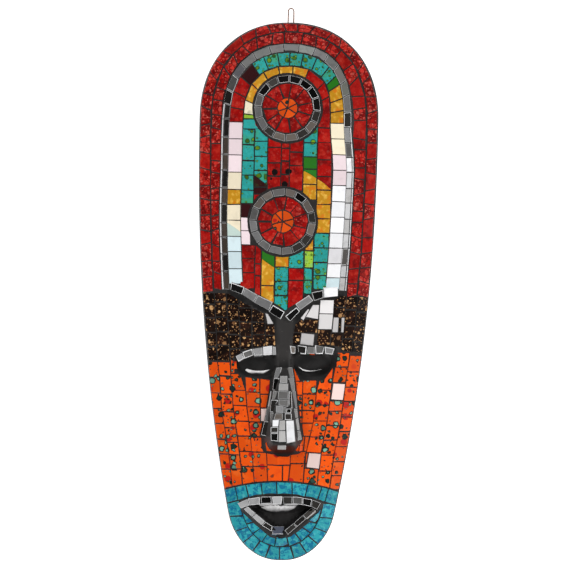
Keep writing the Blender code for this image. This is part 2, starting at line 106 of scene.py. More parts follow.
def brow_relief(x, down):
    """The raised forehead panel with its two medallions, and the ridge under the eyebrows."""
    shoulder = eased(BORDER, BORDER + ARCH_COURSE, depth_in(x, down))
    height = PANEL_RISE * shoulder * (1 - eased(v_edge(x, False), v_edge(x, True), down))
    for centre in (UPPER_MEDALLION, LOWER_MEDALLION):
        away = np.hypot(x - centre[0], down - centre[1])
        height = height + MEDALLION_RISE * (1 - eased(0.6 * RING_RADIUS, RING_RADIUS, away))
    ridge = 304.5 + 7 * np.maximum(0, -x / 46) ** 2
    near = 1 - eased(0, 7, np.abs(down - ridge))
    return height + BROW_RISE * near * (1 - eased(44, 54, np.abs(x)))


def eye_relief(x, down):
    """Hollow sockets with the closed lids swelling in them, each lid with a thin rolled lower edge."""
    height = 0
    for side, socket, lid_middle in ((-1, 318, 316.5), (1, 316.5, 313.5)):
        away = np.hypot((x - side * 26.5) / 22, (down - socket) / 13.5)
        lid = np.hypot((x - side * 25) / 18, (down - lid_middle) / 11)
        height = height - SOCKET_DEPTH * (1 - eased(0.45, 1, away))
        height = height + LID_RISE * np.sqrt(np.maximum(0, 1 - lid * lid))
    return height


def nose_relief(x, down):
    """A wedge that grows from between the brows to a blunt tip and drops back under it, and soft cheeks."""
    growing = 0.34 * eased(272, 320, down) + 0.66 * eased(318, 386, down)
    under = 1 - eased(389, 402.5, down)
    wide = np.clip((down - 320) / 64, 0, 1)
    wedge = NOSE_RISE * growing * under * (1 - eased(3 + 5 * wide, 9.5 + 11.5 * wide, np.abs(x)))
    away = np.hypot((np.abs(x) - 36) / 24, (down - 362) / 40)
    return wedge + CHEEK_RISE * (1 - eased(0, 1, away))


def mouth_relief(x, down):
    """A ridge of lips round an open mouth, with a swelling row of teeth under the upper lip."""
    head = 439.5 + 7 * (x / 40) ** 2
    foot = 481 - 33 * np.minimum(1, np.abs(x) / 42) ** 1.15
    hollow = eased(head + 5.5, head + 9, down) * (1 - eased(foot - 14, foot - 6, down))
    hollow = hollow * (1 - eased(26, 36, np.abs(x)))
    lips = eased(head - 5, head + 3, down) * (1 - eased(foot - 5, foot + 6, down))
    lips = lips * (1 - eased(34, 44, np.abs(x)))
    teeth = np.hypot((x + 1.5) / 22, (down - 447.5) / 8)
    row = TEETH_RISE * np.sqrt(np.maximum(0, 1 - teeth * teeth))
    return LIP_RISE * lips * (1 - hollow) - (MOUTH_DEPTH - row) * hollow


def relief(x, down):
    return sum(part(x, down) for part in (dome, brow_relief, eye_relief, nose_relief, mouth_relief))


def inside(loop, x, down):
    """Whether a spot lies inside a closed line."""
    found = False
    for i, here in enumerate(loop):
        other = loop[i - 1]
        if (here[1] > down) != (other[1] > down):
            crossing = here[0] + (other[0] - here[0]) * (down - here[1]) / (other[1] - here[1])
            if x < crossing:
                found = not found
    return found


class Tint:
    """One value, colour or vector on its way through a material's nodes."""

    def __init__(self, tree, socket=None):
        self.tree = tree
        self.socket = socket

    def node(self, kind, values=None, output=0, **settings):
        made = self.tree.nodes.new("ShaderNode" + kind)
        for name, value in settings.items():
            setattr(made, name, value)
        for place, value in (values or {}).items():
            if isinstance(value, Tint):
                self.tree.links.new(value.socket, made.inputs[place])
            else:
                made.inputs[place].default_value = value
        return Tint(self.tree, made.outputs[output])

    def also(self, output):
        """Another output of the same node."""
        return Tint(self.tree, self.socket.node.outputs[output])

    def math(self, operation, first, second):
        return self.node("Math", {0: first, 1: second}, operation=operation)

    def __add__(self, other):
        return self.math("ADD", self, other)

    def __sub__(self, other):
        return self.math("SUBTRACT", self, other)

    def __rsub__(self, other):
        return self.math("SUBTRACT", other, self)

    def __mul__(self, other):
        return self.math("MULTIPLY", self, other)

    __radd__ = __add__

    def between(self, low, high):
        """0 up to low and 1 from high on, or the other way round where low is the higher one."""
        values = {"Value": self, "From Min": low, "From Max": high}
        return self.node("MapRange", values, interpolation_type="SMOOTHSTEP")

    def blend(self, first, second):
        """The first colour where this value is 0 and the second where it is 1."""
        first, second = (tone if isinstance(tone, Tint) else (*tone, 1) for tone in (first, second))
        return self.node("Mix", {0: self, 6: first, 7: second}, 2, data_type="RGBA")

    def vector(self, operation, *values, output="Vector"):
        return self.node("VectorMath", dict(enumerate(values)), output, operation=operation)

    def attribute(self, name, output="Fac"):
        return self.node("Attribute", output=output, attribute_name=name)

    def stretched(self, place, *scale):
        return self.node("Mapping", {"Vector": place, "Scale": scale})

    def noise(self, place, scale, detail=2):
        return self.node("TexNoise", {"Vector": place, "Scale": scale, "Detail": detail})

    def bent(self, place, scale, by):
        """A place pushed about by noise."""
        return self.vector("MULTIPLY_ADD", self.noise(place, scale).also("Color"), (by, by, by), place)

    def cells(self, place, scale, **settings):
        """How far off the middle of its cell a place is, and the cell's own chance values."""
        far = self.node("TexVoronoi", {"Vector": place, "Scale": scale}, **settings)
        return far, self.node("SeparateColor", {0: far.also("Color")})

    def drops(self, place, scale, spread, least):
        """How far outside the nearest round drop a place is, and the drop's own chance values."""
        far, chosen = self.cells(place, scale, voronoi_dimensions="2D")
        return far - (chosen * spread + least), chosen


def new_finish(name, roughness, metallic=0, ior=1.5):
    """A material, the start of its nodes, a place on the object, and the shader."""
    material = bpy.data.materials.new(name)
    material.use_nodes = True
    shader = material.node_tree.nodes["Principled BSDF"]
    for socket, value in (("Roughness", roughness), ("Metallic", metallic), ("IOR", ior)):
        shader.inputs[socket].default_value = value
    start = Tint(material.node_tree)
    return material, start, start.node("TexCoord", output="Object"), shader


def put(shader, socket, tint):
    tint.tree.links.new(tint.socket, shader.inputs[socket])


def bumped(shader, height, distance, strength):
    values = {"Strength": strength, "Distance": distance, "Height": height}
    put(shader, "Normal", height.node("Bump", values))


def black_paint():
    """Glossy black paint over carved wood, brushed on, duller where dust lies; painted sheen on the bridge.
    """
    material, start, place, shader = new_finish("black_paint", 0.4, ior=1.42)
    brushed = start.noise(start.stretched(place, 260, 60, 260), 1, 3)
    cloudy = start.noise(place, 55, 4)
    base = cloudy.between(0.35, 0.7).blend((0.006, 0.006, 0.006), (0.017, 0.016, 0.016))
    x = start.node("SeparateXYZ", {0: place})
    y = x.also("Y")
    # Painted sheen: the narrow bridge between the brows is painted lighter, as its smooth top catches the
    # light.
    bridge_sheen = start.math("ABSOLUTE", x, 0).between(0.0105, 0.006) * y.between(-0.078, -0.066)
    base = (bridge_sheen * y.between(-0.022, -0.030) * 0.7).blend(base, (0.040, 0.037, 0.036))
    dust, chosen = start.cells(place, 420)
    base = (dust.between(0.16, 0.06) * chosen.between(0.80, 0.85) * 0.5).blend(base, (0.24, 0.23, 0.22))
    put(shader, "Base Color", base)
    put(shader, "Roughness", 0.34 + cloudy * 0.22)
    bumped(shader, brushed * 0.6 + cloudy * 0.4, 0.00025, 0.5)
    return material


def grout():
    """Cement grout dyed charcoal, dull and gritty, a little paler where it was wiped thin."""
    material, start, place, shader = new_finish("grout", 0.85)
    grit = start.noise(place, 1800, 3)
    dark = grit.between(0.3, 0.75).blend((0.013, 0.012, 0.012), (0.036, 0.034, 0.033))
    wiped = start.noise(place, 90, 4).between(0.5, 0.8) * 0.5
    put(shader, "Base Color", wiped.blend(dark, (0.065, 0.061, 0.060)))
    bumped(shader, grit, 0.0002, 0.7)
    return material


def gouged_wood():
    """The bare wood of the hollow, left from the gouge: pale, with long grain and shallow scoops."""
    material, start, place, shader = new_finish("gouged_wood", 0.7)
    along = start.stretched(place, 1, 0.09, 1)
    grain = start.noise(along, 420, 5)
    wood = grain.between(0.3, 0.7).blend((0.36, 0.22, 0.115), (0.52, 0.36, 0.21))
    rings = start.noise(along, 60, 3).between(0.45, 0.7) * 0.6
    put(shader, "Base Color", rings.blend(wood, (0.26, 0.145, 0.07)))
    values = {"Vector": start.stretched(place, 95, 42, 95), "Smoothness": 0.25}
    scoops = start.node("TexVoronoi", values, feature="SMOOTH_F1")
    bumped(shader, scoops + grain * 0.05, 0.0022, 0.8)
    return material


def face_rows():
    """(down, half width) of each row of the wood's mesh, close together over the eyes, nose and mouth."""
    rows = []
    for turn in math.pi / 2 * (1 - np.arange(40) / 40):
        down = CROWN * (1 - math.sin(turn) ** (2 / CROWN_ROUNDNESS))
        rows.append((down, WIDTH / 2 * abs(math.cos(turn)) ** (2 / CROWN_ROUNDNESS)))
    straight = [*np.linspace(CROWN, 268, 76), *np.linspace(269.2, LENGTH - CHIN, 156)]
    rows += [(down, flank(down)) for down in straight]
    for turn in math.pi / 2 * np.arange(1, 33) / 32:
        down = LENGTH - CHIN + CHIN * math.sin(turn) ** (2 / CHIN_ROUNDNESS)
        rows.append((down, flank(down) * abs(math.cos(turn)) ** (2 / CHIN_ROUNDNESS)))
    return np.array(rows)


# Where no tiles lie: under the V edge and down the bridge, the two eyes, under the nose, and the mouth
BARE_PLACES = [
    trace("-54 249  -28 259  -1 277  3 279  14 268  36 255  54 250  54 255  38 259  18 270  "
          "9 281  7 300  5 321  -5 321  -8 300  -10 281  -19 270  -40 260  -54 254"),
    trace("-47 312  -28 302  -6 300  -5 320  -10 321  -12 332  -36 329  -44 327"),
    trace("5 299  46 299  50 306  49 319  37 331  16 332  9 320"),
    trace("-19 386  -9 399  -5 403  6 403  9 400  19 387  0 380"),
    trace("-43 446  -27 441  0 438  27 441  41 446  20 467  6 478  -8 478  -24 467"),
]


def as_mesh(form, name):
    mesh = bpy.data.meshes.new(name)
    form.to_mesh(mesh)
    form.free()
    return mesh


def placed(name, data):
    """A new object in the scene."""
    made = bpy.data.objects.new(name, data)
    bpy.context.scene.collection.objects.link(made)
    return made


def carved_wood():
    """The face and the hollow back as two sheets of like rows, joined round the outline."""
    rows = face_rows()
    x = rows[:, 1:] * np.linspace(-1, 1, COLUMNS + 1)
    down = np.repeat(rows[:, :1], COLUMNS + 1, axis=1)
    deep = depth_in(x, down)
    front = relief(x, down) - GROUT_DEPTH - 1.6 * (1 - eased(0.4, 1.6, deep))
    waist = np.clip(down, CROWN, LENGTH - CHIN)
    back_x, back_down = x * 0.988, waist + (down - waist) * 0.988
    roof = dome(back_x, back_down) - TILE_THICKNESS - WALL
    back = np.maximum(0, roof) * eased(RIM_WIDTH, RIM_WIDTH + HOLLOW_SLOPE, depth_in(back_x, back_down))
    form = bmesh.new()
    grids = []
    for sheet_x, sheet_down, height in ((x, down, front), (back_x, back_down, back)):
        points = np.stack([sheet_x / 1000, TOP_Y - sheet_down / 1000, height / 1000], axis=-1)
        grids.append([[form.verts.new(point) for point in row] for row in points])
    painted, cement, raw = 0, 1, 2
    for i in range(len(rows) - 1):
        for j in range(COLUMNS):
            middle = (x[i, j] + x[i + 1, j + 1]) / 2, (down[i, j] + down[i + 1, j + 1]) / 2
            corners = [(i, j), (i + 1, j), (i + 1, j + 1), (i, j + 1)]
            face = form.faces.new([grids[0][a][b] for a, b in corners])
            is_bare = middle[1] > 240 and any(inside(loop, *middle) for loop in BARE_PLACES)
            face.material_index = painted if is_bare or deep[i, j] < 0.8 else cement
            face = form.faces.new([grids[1][a][b] for a, b in reversed(corners)])
            face.material_index = raw if back[i, j] > 1.5 else painted
    for j in (0, COLUMNS):
        side = zip(x[:, j], down[:, j])
        ring = [form.verts.new((u / 1000, TOP_Y - v / 1000, 0.001)) for u, v in side]
        top, foot = ([row[j] for row in grid] for grid in grids)
        for upper, lower in ((top, ring), (ring, foot)):
            for i in range(len(rows) - 1):
                form.faces.new([upper[i], upper[i + 1], lower[i + 1], lower[i]])
    bmesh.ops.remove_doubles(form, verts=form.verts, dist=5e-6)
    bmesh.ops.recalc_face_normals(form, faces=form.faces)
    return as_mesh(form, "carved_mask")


def wire_hole(side):
    """The drill for one of the two holes through the crown's wall."""
    drill = bmesh.new()
    bmesh.ops.create_cone(drill, cap_ends=True, segments=16, radius1=0.0012, radius2=0.0012, depth=0.038)
    cutter = placed("drill", as_mesh(drill, "drill"))
    cutter.rotation_euler = (math.pi / 2, 0, 0)
    cutter.location = (side * 0.0026, TOP_Y, 0.0067)
    return cutter


def made_plain(obj, name):
    """The object as its modifiers leave it, as a plain mesh."""
    graph = bpy.context.evaluated_depsgraph_get()
    mesh = bpy.data.meshes.new_from_object(obj.evaluated_get(graph))
    mesh.name = name
    obj.modifiers.clear()
    obj.data = mesh
    obj.name = name
    return obj


wood = placed("carved_mask", carved_wood())
for finish in (black_paint(), grout(), gouged_wood()):
    wood.data.materials.append(finish)
drills = [wire_hole(side) for side in (-1, 1)]
for drill in drills:
    wood.modifiers.new("wire_hole", "BOOLEAN").object = drill
made_plain(wood, "carved_mask")
for drill in drills:
    bpy.data.objects.remove(drill)
wood.data.shade_smooth()
wood.data.set_sharp_from_angle(angle=math.radians(38))
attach(wood, "root")
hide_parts("mask_body")


# Painted reflections under the black lids and on the teeth under the upper lip: slivers painted glossy white,
# fading through grey to black towards their lower edges.
def painted_reflection():
    """A painted reflection: glossy white that fades to the black under it towards one edge."""
    material, start, place, shader = new_finish("painted_reflection_white", 0.12)
    cloudy = start.noise(place, 260, 3)
    # The worn attribute holds how far the painted reflection fades to black towards the lower edge.
    gone = (start.attribute("worn") + cloudy * 0.3).between(0.30, 1.25)
    white = cloudy.between(0.4, 0.7).blend((0.80, 0.79, 0.79), (0.66, 0.65, 0.65))
    put(shader, "Base Color", gone.blend(white, (0.02, 0.02, 0.021)))
    put(shader, "Roughness", 0.10 + cloudy * 0.10)
    return material


reflection_white = painted_reflection()


def crescent(name, head, foot, fade):
    """A sliver of painted reflection between two lines of spots. fade is (x, how far it fades) along its
    foot.
    """
    across = np.linspace(head[0][0], head[-1][0], 44)
    tops, feet, faded_feet = (np.interp(across, *zip(*line)) for line in (head, foot, fade))
    feet = np.maximum(tops + 0.05, feet)
    form = bmesh.new()
    # The worn layer holds the painted reflection's fade to black, growing towards the foot.
    layer = form.verts.layers.float.new("worn")
    rows = []
    for step in range(9):
        down = tops + (feet - tops) * step / 8
        height = relief(across, down) - GROUT_DEPTH + 0.12
        rows.append([])
        for x, v, z, foot_fade in zip(across, down, height, faded_feet):
            point = form.verts.new((x / 1000, TOP_Y - v / 1000, z / 1000))
            point[layer] = foot_fade * (step / 8) ** 1.2
            rows[-1].append(point)
    for upper, lower in zip(rows, rows[1:]):
        for k in range(len(across) - 1):
            form.faces.new([upper[k], lower[k], lower[k + 1], upper[k + 1]])
    skin = bmesh.ops.extrude_face_region(form, geom=form.faces[:])
    moved = [part for part in skin["geom"] if isinstance(part, bmesh.types.BMVert)]
    bmesh.ops.translate(form, verts=moved, vec=(0, 0, -0.0006))
    bmesh.ops.recalc_face_normals(form, faces=form.faces)
    sliver = placed(name, as_mesh(form, name))
    sliver.data.materials.append(reflection_white)
    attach(sliver, "root")


crescent(
    "left_eye_white",
    [(-35.6, 322.9), (-34.3, 322.4), (-30, 323.5), (-24.6, 324.1), (-19, 323.7), (-13, 322.6)],
    [(-35.6, 324), (-33, 325.6), (-29, 327.4), (-24.6, 328.2), (-19, 327), (-13, 322.7)],
    [(-35.6, 0.3), (-30, 0.9), (-25, 2), (-20, 1.2), (-13, 0.9)],
)
crescent(
    "right_eye_white",
    [(13.8, 319.4), (17, 321.6), (21, 322.6), (25, 323), (30, 322.6), (34.5, 321.4)],
    [(13.8, 319.8), (17, 322.7), (21, 323.6), (25, 323.7), (30, 323), (34.5, 321.7)],
    [(13.8, 0.2), (20, 0.3), (26, 0.8), (34.5, 1.2)],
)
# The teeth sliver is a painted reflection on the glossy teeth under the upper lip.
crescent(
    "teeth",
    [(-20.6, 448), (-17.5, 446), (-9, 446), (-4, 447.4), (-0.2, 449.2), (3, 447.5), (8, 446), (12.5, 445.9),
     (15.9, 446.6)],
    [(-20.6, 448.2), (-18, 451), (-12, 453.6), (-3.8, 455), (6, 453.8), (12, 450.8), (15.9, 446.8)],
    [(-20.6, 0.5), (-10, 0.8), (0, 1.15), (10, 0.8), (15.9, 0.6)],
)


# The red border. Two courses of small panes, cut from glass that was painted deep red over a paler crackle,
# run from the left flank over the crown and down the right flank. Each pane is pressed into the wet bed.
JOINT = 1.15
DEEP_RED = (0.33, 0.006, 0.004)


def spot_at(turn, inset):
    """A spot at an inset from the outline. turn is in degrees from the top of the head up to 90 to each
    side, then millimetres down the flank."""
    if abs(turn) > 90:
        down = CROWN + abs(turn) - 90
        return (math.copysign(flank(down) - inset, turn), down)
    angle = math.radians(turn)
    across, up = math.sin(angle), math.cos(angle)
    power = CROWN_ROUNDNESS
    radius = ((abs(across) / (WIDTH / 2)) ** power + (up / CROWN) ** power) ** (-1 / power)
    return (across * (radius - inset), CROWN - up * (radius - inset))


def border_inset(turn, on_top, on_flank):
    """An inset that grows from the top to the flank. Inside the border it sways: the arch was laid further
    in on the right shoulder and further out down the left flank."""
    inset = on_top + (on_flank - on_top) * float(eased(0, 70, spot_at(turn, 0)[1]))
    sway = 3.8 * float(eased(30, 76, turn) * eased(138, 92, turn))
    sway -= 0.8 * float(eased(-80, -100, turn)) + 1.8 * float(eased(-120, -190, turn))
    return inset + sway * float(eased(8, 20, on_top))


def even_turns(start, end, inset, length, loose, chance):
    """Turns that cut a course into tiles of about one length."""
    fine = np.linspace(start, end, 600)
    spots = np.array([spot_at(turn, inset) for turn in fine])
    run = np.concatenate([[0], np.cumsum(np.hypot(*np.diff(spots, axis=0).T))])
    count = max(1, round(run[-1] / length))
    marks = [(k + (chance.uniform(-loose, loose) if 0 < k < count else 0)) / count for k in range(count + 1)]
    return [float(np.interp(mark * run[-1], run, fine)) for mark in marks]


def course(turns, outer, inner, chance, skew=0.6, loose=0):
    """One quadrangle for each stretch between two turns. outer and inner are (on top, on flank) insets."""
    panes = []
    ends = [(turn, chance.uniform(-skew, skew)) for turn in turns]
    for (first, lean), (last, last_lean) in zip(ends, ends[1:]):
        corners = []
        for turn, by, insets in (
            (first, lean, outer), (last, last_lean, outer), (last, -last_lean, inner), (first, -lean, inner),
        ):
            inset = border_inset(turn, *insets) + chance.uniform(0, loose)
            corners.append(spot_at(turn + by, inset))
        panes.append(corners)
    return panes


def corner_moves(loop):
    """For each corner of a loop that runs anticlockwise, the way in that takes each side in by one unit."""
    moves = []
    for i, here in enumerate(loop):
        arriving = (here - loop[i - 1]).normalized()
        leaving = (loop[(i + 1) % len(loop)] - here).normalized()
        first, second = Vector((-arriving.y, arriving.x)), Vector((-leaving.y, leaving.x))
        moves.append((first + second) / max(0.25, 1 + first.dot(second)))
    return moves


def area_of(loop):
    return sum(loop[i - 1][0] * here[1] - here[0] * loop[i - 1][1] for i, here in enumerate(loop)) / 2


def tidied(loop, nearest=0.5):
    """The loop without corners that all but coincide."""
    kept = []
    for spot in loop:
        if not kept or math.dist(spot, kept[-1]) > nearest:
            kept.append(spot)
    while len(kept) > 3 and math.dist(kept[0], kept[-1]) <= nearest:
        kept.pop()
    return kept


def triangles_of(loops):
    """Triangles that fill some loops, as a list of spots and a list of (triangle, its middle)."""
    points, edges = [], []
    for line in loops:
        first = len(points)
        points += [Vector(spot) for spot in line]
        edges += [(first + i, first + (i + 1) % len(line)) for i in range(len(line))]
    spots, _, triangles = delaunay_2d_cdt(points, edges, [], 0, 1e-4)[:3]
    return spots, [(part, sum((spots[i] for i in part), Vector((0, 0))) / 3) for part in triangles]


def outlines(spots, triangles):
    """The loops round a set of triangles."""
    sides = {(triangle[i - 1], triangle[i]) for triangle in triangles for i in range(3)}
    following = {}
    for a, b in sides:
        if (b, a) not in sides:
            following.setdefault(a, []).append(b)
    loops = []
    while following:
        start = here = next(iter(following))
        loop = []
        while here in following:
            loop.append(tuple(spots[here]))
            onward = following[here].pop()
            if not following[here]:
                del following[here]
            here = onward
            if here == start:
                break
        loops.append(loop)
    return loops


def sound(loop):
    """The parts of a loop that still run anticlockwise, as a thin arm crosses over when its sides move in."""
    spots, triangles = triangles_of([loop])
    kept = []
    for triangle, middle in triangles:
        swept = 0
        for i, here in enumerate(loop):
            last, now = Vector(loop[i - 1]) - middle, Vector(here) - middle
            swept += math.atan2(last.x * now.y - last.y * now.x, last.dot(now))
        if swept > 3:
            kept.append(triangle)
    return outlines(spots, kept)


def tile_plan(name, tiles, joint):
    """A flat mesh with one face for each tile, half a joint smaller all round. It carries the tile's paint,
    how strong its figure is and how much silvering it has."""
    corners, faces, moves, paints, figures, mirrored = [], [], [], [], [], []
    for loop, paint, figure, silvering in tiles:
        spots = [Vector((x, -down)) for x, down in tidied(loop)]
        if area_of(spots) < 0:
            spots.reverse()
        if len(spots) < 3 or area_of(spots) < 4:
            continue
        for part in sound([spot + move * joint / 2 for spot, move in zip(spots, corner_moves(spots))]):
            cut = [Vector(spot) for spot in tidied(part, 0.25)]
            if len(cut) < 3 or area_of(cut) < 2.5:
                continue
            faces.append(tuple(range(len(corners), len(corners) + len(cut))))
            corners += [(spot.x / 1000, TOP_Y + spot.y / 1000, 0) for spot in cut]
            moves += [(*move, 0) for move in corner_moves(cut)]
            paints.append((*paint, 1))
            figures.append(figure)
            mirrored.append(silvering)
    mesh = bpy.data.meshes.new(name)
    mesh.from_pydata(corners, [], faces)
    for attribute, kind, domain, field, values in (
        ("way_in", "FLOAT_VECTOR", "POINT", "vector", moves),
        ("paint", "FLOAT_COLOR", "FACE", "color", paints),
        ("figure", "FLOAT", "FACE", "value", figures),
        ("mirrored", "FLOAT", "FACE", "value", mirrored),
    ):
        flat_values = np.ravel(values).astype(float)
        mesh.attributes.new(attribute, kind, domain).data.foreach_set(field, flat_values)
    return mesh


def laying_tree():
    """Geometry Nodes that press each face of a plan on the carving and give it thickness and ground edges."""
    tree = bpy.data.node_groups.new("lay_tiles", "GeometryNodeTree")
    kinds = {"Plan": "Geometry", "Carving": "Object", "Seed": "Int"}
    kinds |= {"Glass": "Material", "Mirror": "Material"}
    kinds |= dict.fromkeys(("Proud", "Thickness", "Arris", "Arris Depth", "Lean", "Level"), "Float")
    for name, kind in kinds.items():
        tree.interface.new_socket(name, in_out="INPUT", socket_type="NodeSocket" + kind)
    tree.interface.new_socket("Tiles", in_out="OUTPUT", socket_type="NodeSocketGeometry")

    def add(kind, values=None, **settings):
        """The outputs of a new node."""
        made = tree.nodes.new(kind)
        for name, value in settings.items():
            setattr(made, name, value)
        for place, value in (values or {}).items():
            if isinstance(value, bpy.types.NodeSocket):
                tree.links.new(value, made.inputs[place])
            else:
                made.inputs[place].default_value = value
        return made.outputs

    def number(operation, first, second):
        return add("ShaderNodeMath", {0: first, 1: second}, operation=operation)[0]

    def vector(operation, values, output="Vector"):
        return add("ShaderNodeVectorMath", values, operation=operation)[output]

    def combined(x, y, z):
        return add("ShaderNodeCombineXYZ", {0: x, 1: y, 2: z})[0]

    def on_face(data_type, value):
        return add("GeometryNodeFieldOnDomain", {"Value": value}, data_type=data_type, domain="FACE")[0]

    def stored(geometry, name, value, data_type="FLOAT", **more):
        values = {"Geometry": geometry, "Name": name, "Value": value, **more}
        return add("GeometryNodeStoreNamedAttribute", values, data_type=data_type, domain="FACE")[0]

    def known(name, data_type="FLOAT_VECTOR"):
        return add("GeometryNodeInputNamedAttribute", {"Name": name}, data_type=data_type)[0]

    def moved(geometry, **values):
        return add("GeometryNodeSetPosition", {"Geometry": geometry, **values})[0]

    def raised(geometry, height, **more):
        values = {"Mesh": geometry, "Offset": faced, "Offset Scale": height, "Individual": True, **more}
        return add("GeometryNodeExtrudeMesh", values, mode="FACES")

    def covered(geometry, finish, **more):
        return add("GeometryNodeSetMaterial", {"Geometry": geometry, "Material": finish, **more})[0]

    given = add("NodeGroupInput")
    place = add("GeometryNodeInputPosition")[0]
    middle = on_face("FLOAT_VECTOR", place)
    tile_number = on_face("INT", add("GeometryNodeInputIndex")[0])
    carving = add("GeometryNodeObjectInfo", {"Object": given["Carving"]}, transform_space="RELATIVE")
    above = vector("ADD", {0: middle, 1: (0, 0, 0.3)})
    ray = {"Target Geometry": carving["Geometry"], "Source Position": above}
    ray |= {"Ray Direction": (0, 0, -1), "Ray Length": 1}
    struck = add("GeometryNodeRaycast", ray)
    tilt, back = given["Lean"], number("MULTIPLY", given["Lean"], -1)
    luck = {"ID": tile_number, "Seed": given["Seed"]}
    tilts = luck | {"Min": combined(back, back, 0), "Max": combined(tilt, tilt, 0)}
    lean = add("FunctionNodeRandomValue", tilts, data_type="FLOAT_VECTOR")[0]
    leaning = vector("ADD", {0: struck["Hit Normal"], 1: lean})
    facing = vector("NORMALIZE", {0: vector("ADD", {0: leaning, 1: combined(0, 0, given["Level"])})})
    fall = vector("DOT_PRODUCT", {0: vector("SUBTRACT", {0: place, 1: middle}), 1: facing}, "Value")
    lower = number("DIVIDE", fall, add("ShaderNodeSeparateXYZ", {0: facing})["Z"])
    bed = number("ADD", add("ShaderNodeSeparateXYZ", {0: struck["Hit Position"]})["Z"], given["Proud"])
    flat = add("ShaderNodeSeparateXYZ", {0: place})
    laid = moved(given["Plan"], Position=combined(flat["X"], flat["Y"], number("SUBTRACT", bed, lower)))
    shade = add("FunctionNodeRandomValue", luck, data_type="FLOAT")[1]
    shaded_tiles = stored(laid, "shade", shade)
    straight = add("GeometryNodeInputNormal")[0]
    tiles = stored(shaded_tiles, "facing", straight, "FLOAT_VECTOR")
    faced = known("facing")
    sunk = number("MULTIPLY", given["Thickness"], -1)
    foot = moved(tiles, Offset=vector("SCALE", {0: faced, "Scale": sunk}))
    walls = raised(foot, number("SUBTRACT", given["Thickness"], given["Arris Depth"]))
    bevel = raised(walls["Mesh"], given["Arris Depth"], Selection=walls["Top"])
    way_in = known("way_in")
    in_plane = vector("SUBTRACT", {0: way_in, 1: vector("PROJECT", {0: way_in, 1: faced})})
    inwards = vector("SCALE", {0: in_plane, "Scale": given["Arris"]})
    ground = moved(bevel["Mesh"], Selection=bevel["Top"], Offset=inwards)
    rimmed = stored(ground, "rim", 1, Selection=bevel["Side"])
    under = add("GeometryNodeFlipFaces", {"Mesh": foot})[0]
    joined = tree.nodes.new("GeometryNodeJoinGeometry")
    for part in (rimmed, under):
        tree.links.new(part, joined.inputs[0])
    closed = add("GeometryNodeMergeByDistance", {"Geometry": joined.outputs[0], "Distance": 2e-6})[0]
    glass = covered(closed, given["Glass"])
    add("NodeGroupOutput", {0: covered(glass, given["Mirror"], Selection=known("mirrored", "FLOAT"))})
    return tree


tile_laying = laying_tree()


def shaded(start, low, high):
    """A tile's own paint, made darker or lighter by a chance value for each tile."""
    level = start.attribute("shade") * (high - low) + low
    grey = start.node("CombineXYZ", {0: level, 1: level, 2: level})
    return start.vector("MULTIPLY", start.attribute("paint", "Color"), grey)


def silvered():
    """Mirror glass. Its tone, clear silver, darker or white, is a painted reflection, with tarnish in
    patches. Its ground edges have a frosting painted pale as a highlight, the paler the stronger the tile's
    figure is."""
    material, start, place, shader = new_finish("mirror_glass", 0.03, metallic=1)
    rim = start.attribute("rim")
    tarnish = start.noise(place, 160, 4).between(0.45, 0.8)
    worn = (tarnish * 0.5).blend(shaded(start, 0.72, 1.12), shaded(start, 0.45, 0.6))
    # Painted highlight: the ground edges are painted pale by the tile's figure.
    frosted_highlight = start.attribute("figure").blend((0.17, 0.17, 0.17), (0.80, 0.80, 0.81))
    put(shader, "Base Color", rim.blend(worn, frosted_highlight))
    put(shader, "Metallic", start.attribute("mirrored") * (1 - rim))
    put(shader, "Roughness", 0.03 + start.noise(place, 500, 3).between(0.5, 0.8) * 0.10 + rim * 0.3)
    bumped(shader, start.noise(place, 90, 1), 0.0003, 0.3)
    return material


mirror_glass = silvered()


def lay(
    name, node, tiles, glass, seed, joint=JOINT, lean=0.03, arris=0.28, level=0.0, proud=GROUT_DEPTH
):
    """One field of tiles, laid on the carved wood in the place of its CAD node. The higher level is, the
    nearer to flat the tiles lie on a slope, and proud is how far their faces stand out of the grout."""
    plan = placed(name, tile_plan(name, tiles, joint))
    laying = plan.modifiers.new("lay", "NODES")
    laying.node_group = tile_laying
    values = {
        "Carving": wood, "Proud": proud / 1000, "Thickness": TILE_THICKNESS / 1000, "Arris": arris / 1000,
        "Arris Depth": 0.7 * arris / 1000, "Lean": lean, "Level": level, "Seed": seed, "Glass": glass,
        "Mirror": mirror_glass,
    }
    for item in tile_laying.interface.items_tree:
        if item.in_out == "INPUT" and item.name in values:
            laying[item.identifier] = values[item.name]
    piece = made_plain(plan, name)
    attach(piece, "root")
    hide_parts(node)


def pane_glass(name, ior, low, high, painting):
    """Hand-cut glass over paint, nearly flat, with slow waves and fine scratches."""
    material, start, place, shader = new_finish(name, 0.08, ior=ior)
    base = painting(start, place, shaded(start, low, high), start.attribute("figure"))
    put(shader, "Base Color", base)
    smears = start.noise(place, 420, 4)
    put(shader, "Roughness", 0.07 + smears.between(0.5, 0.85) * 0.16)
    bumped(shader, start.noise(place, 130, 1) + smears * 0.03, 0.0004, 0.35)
    return material


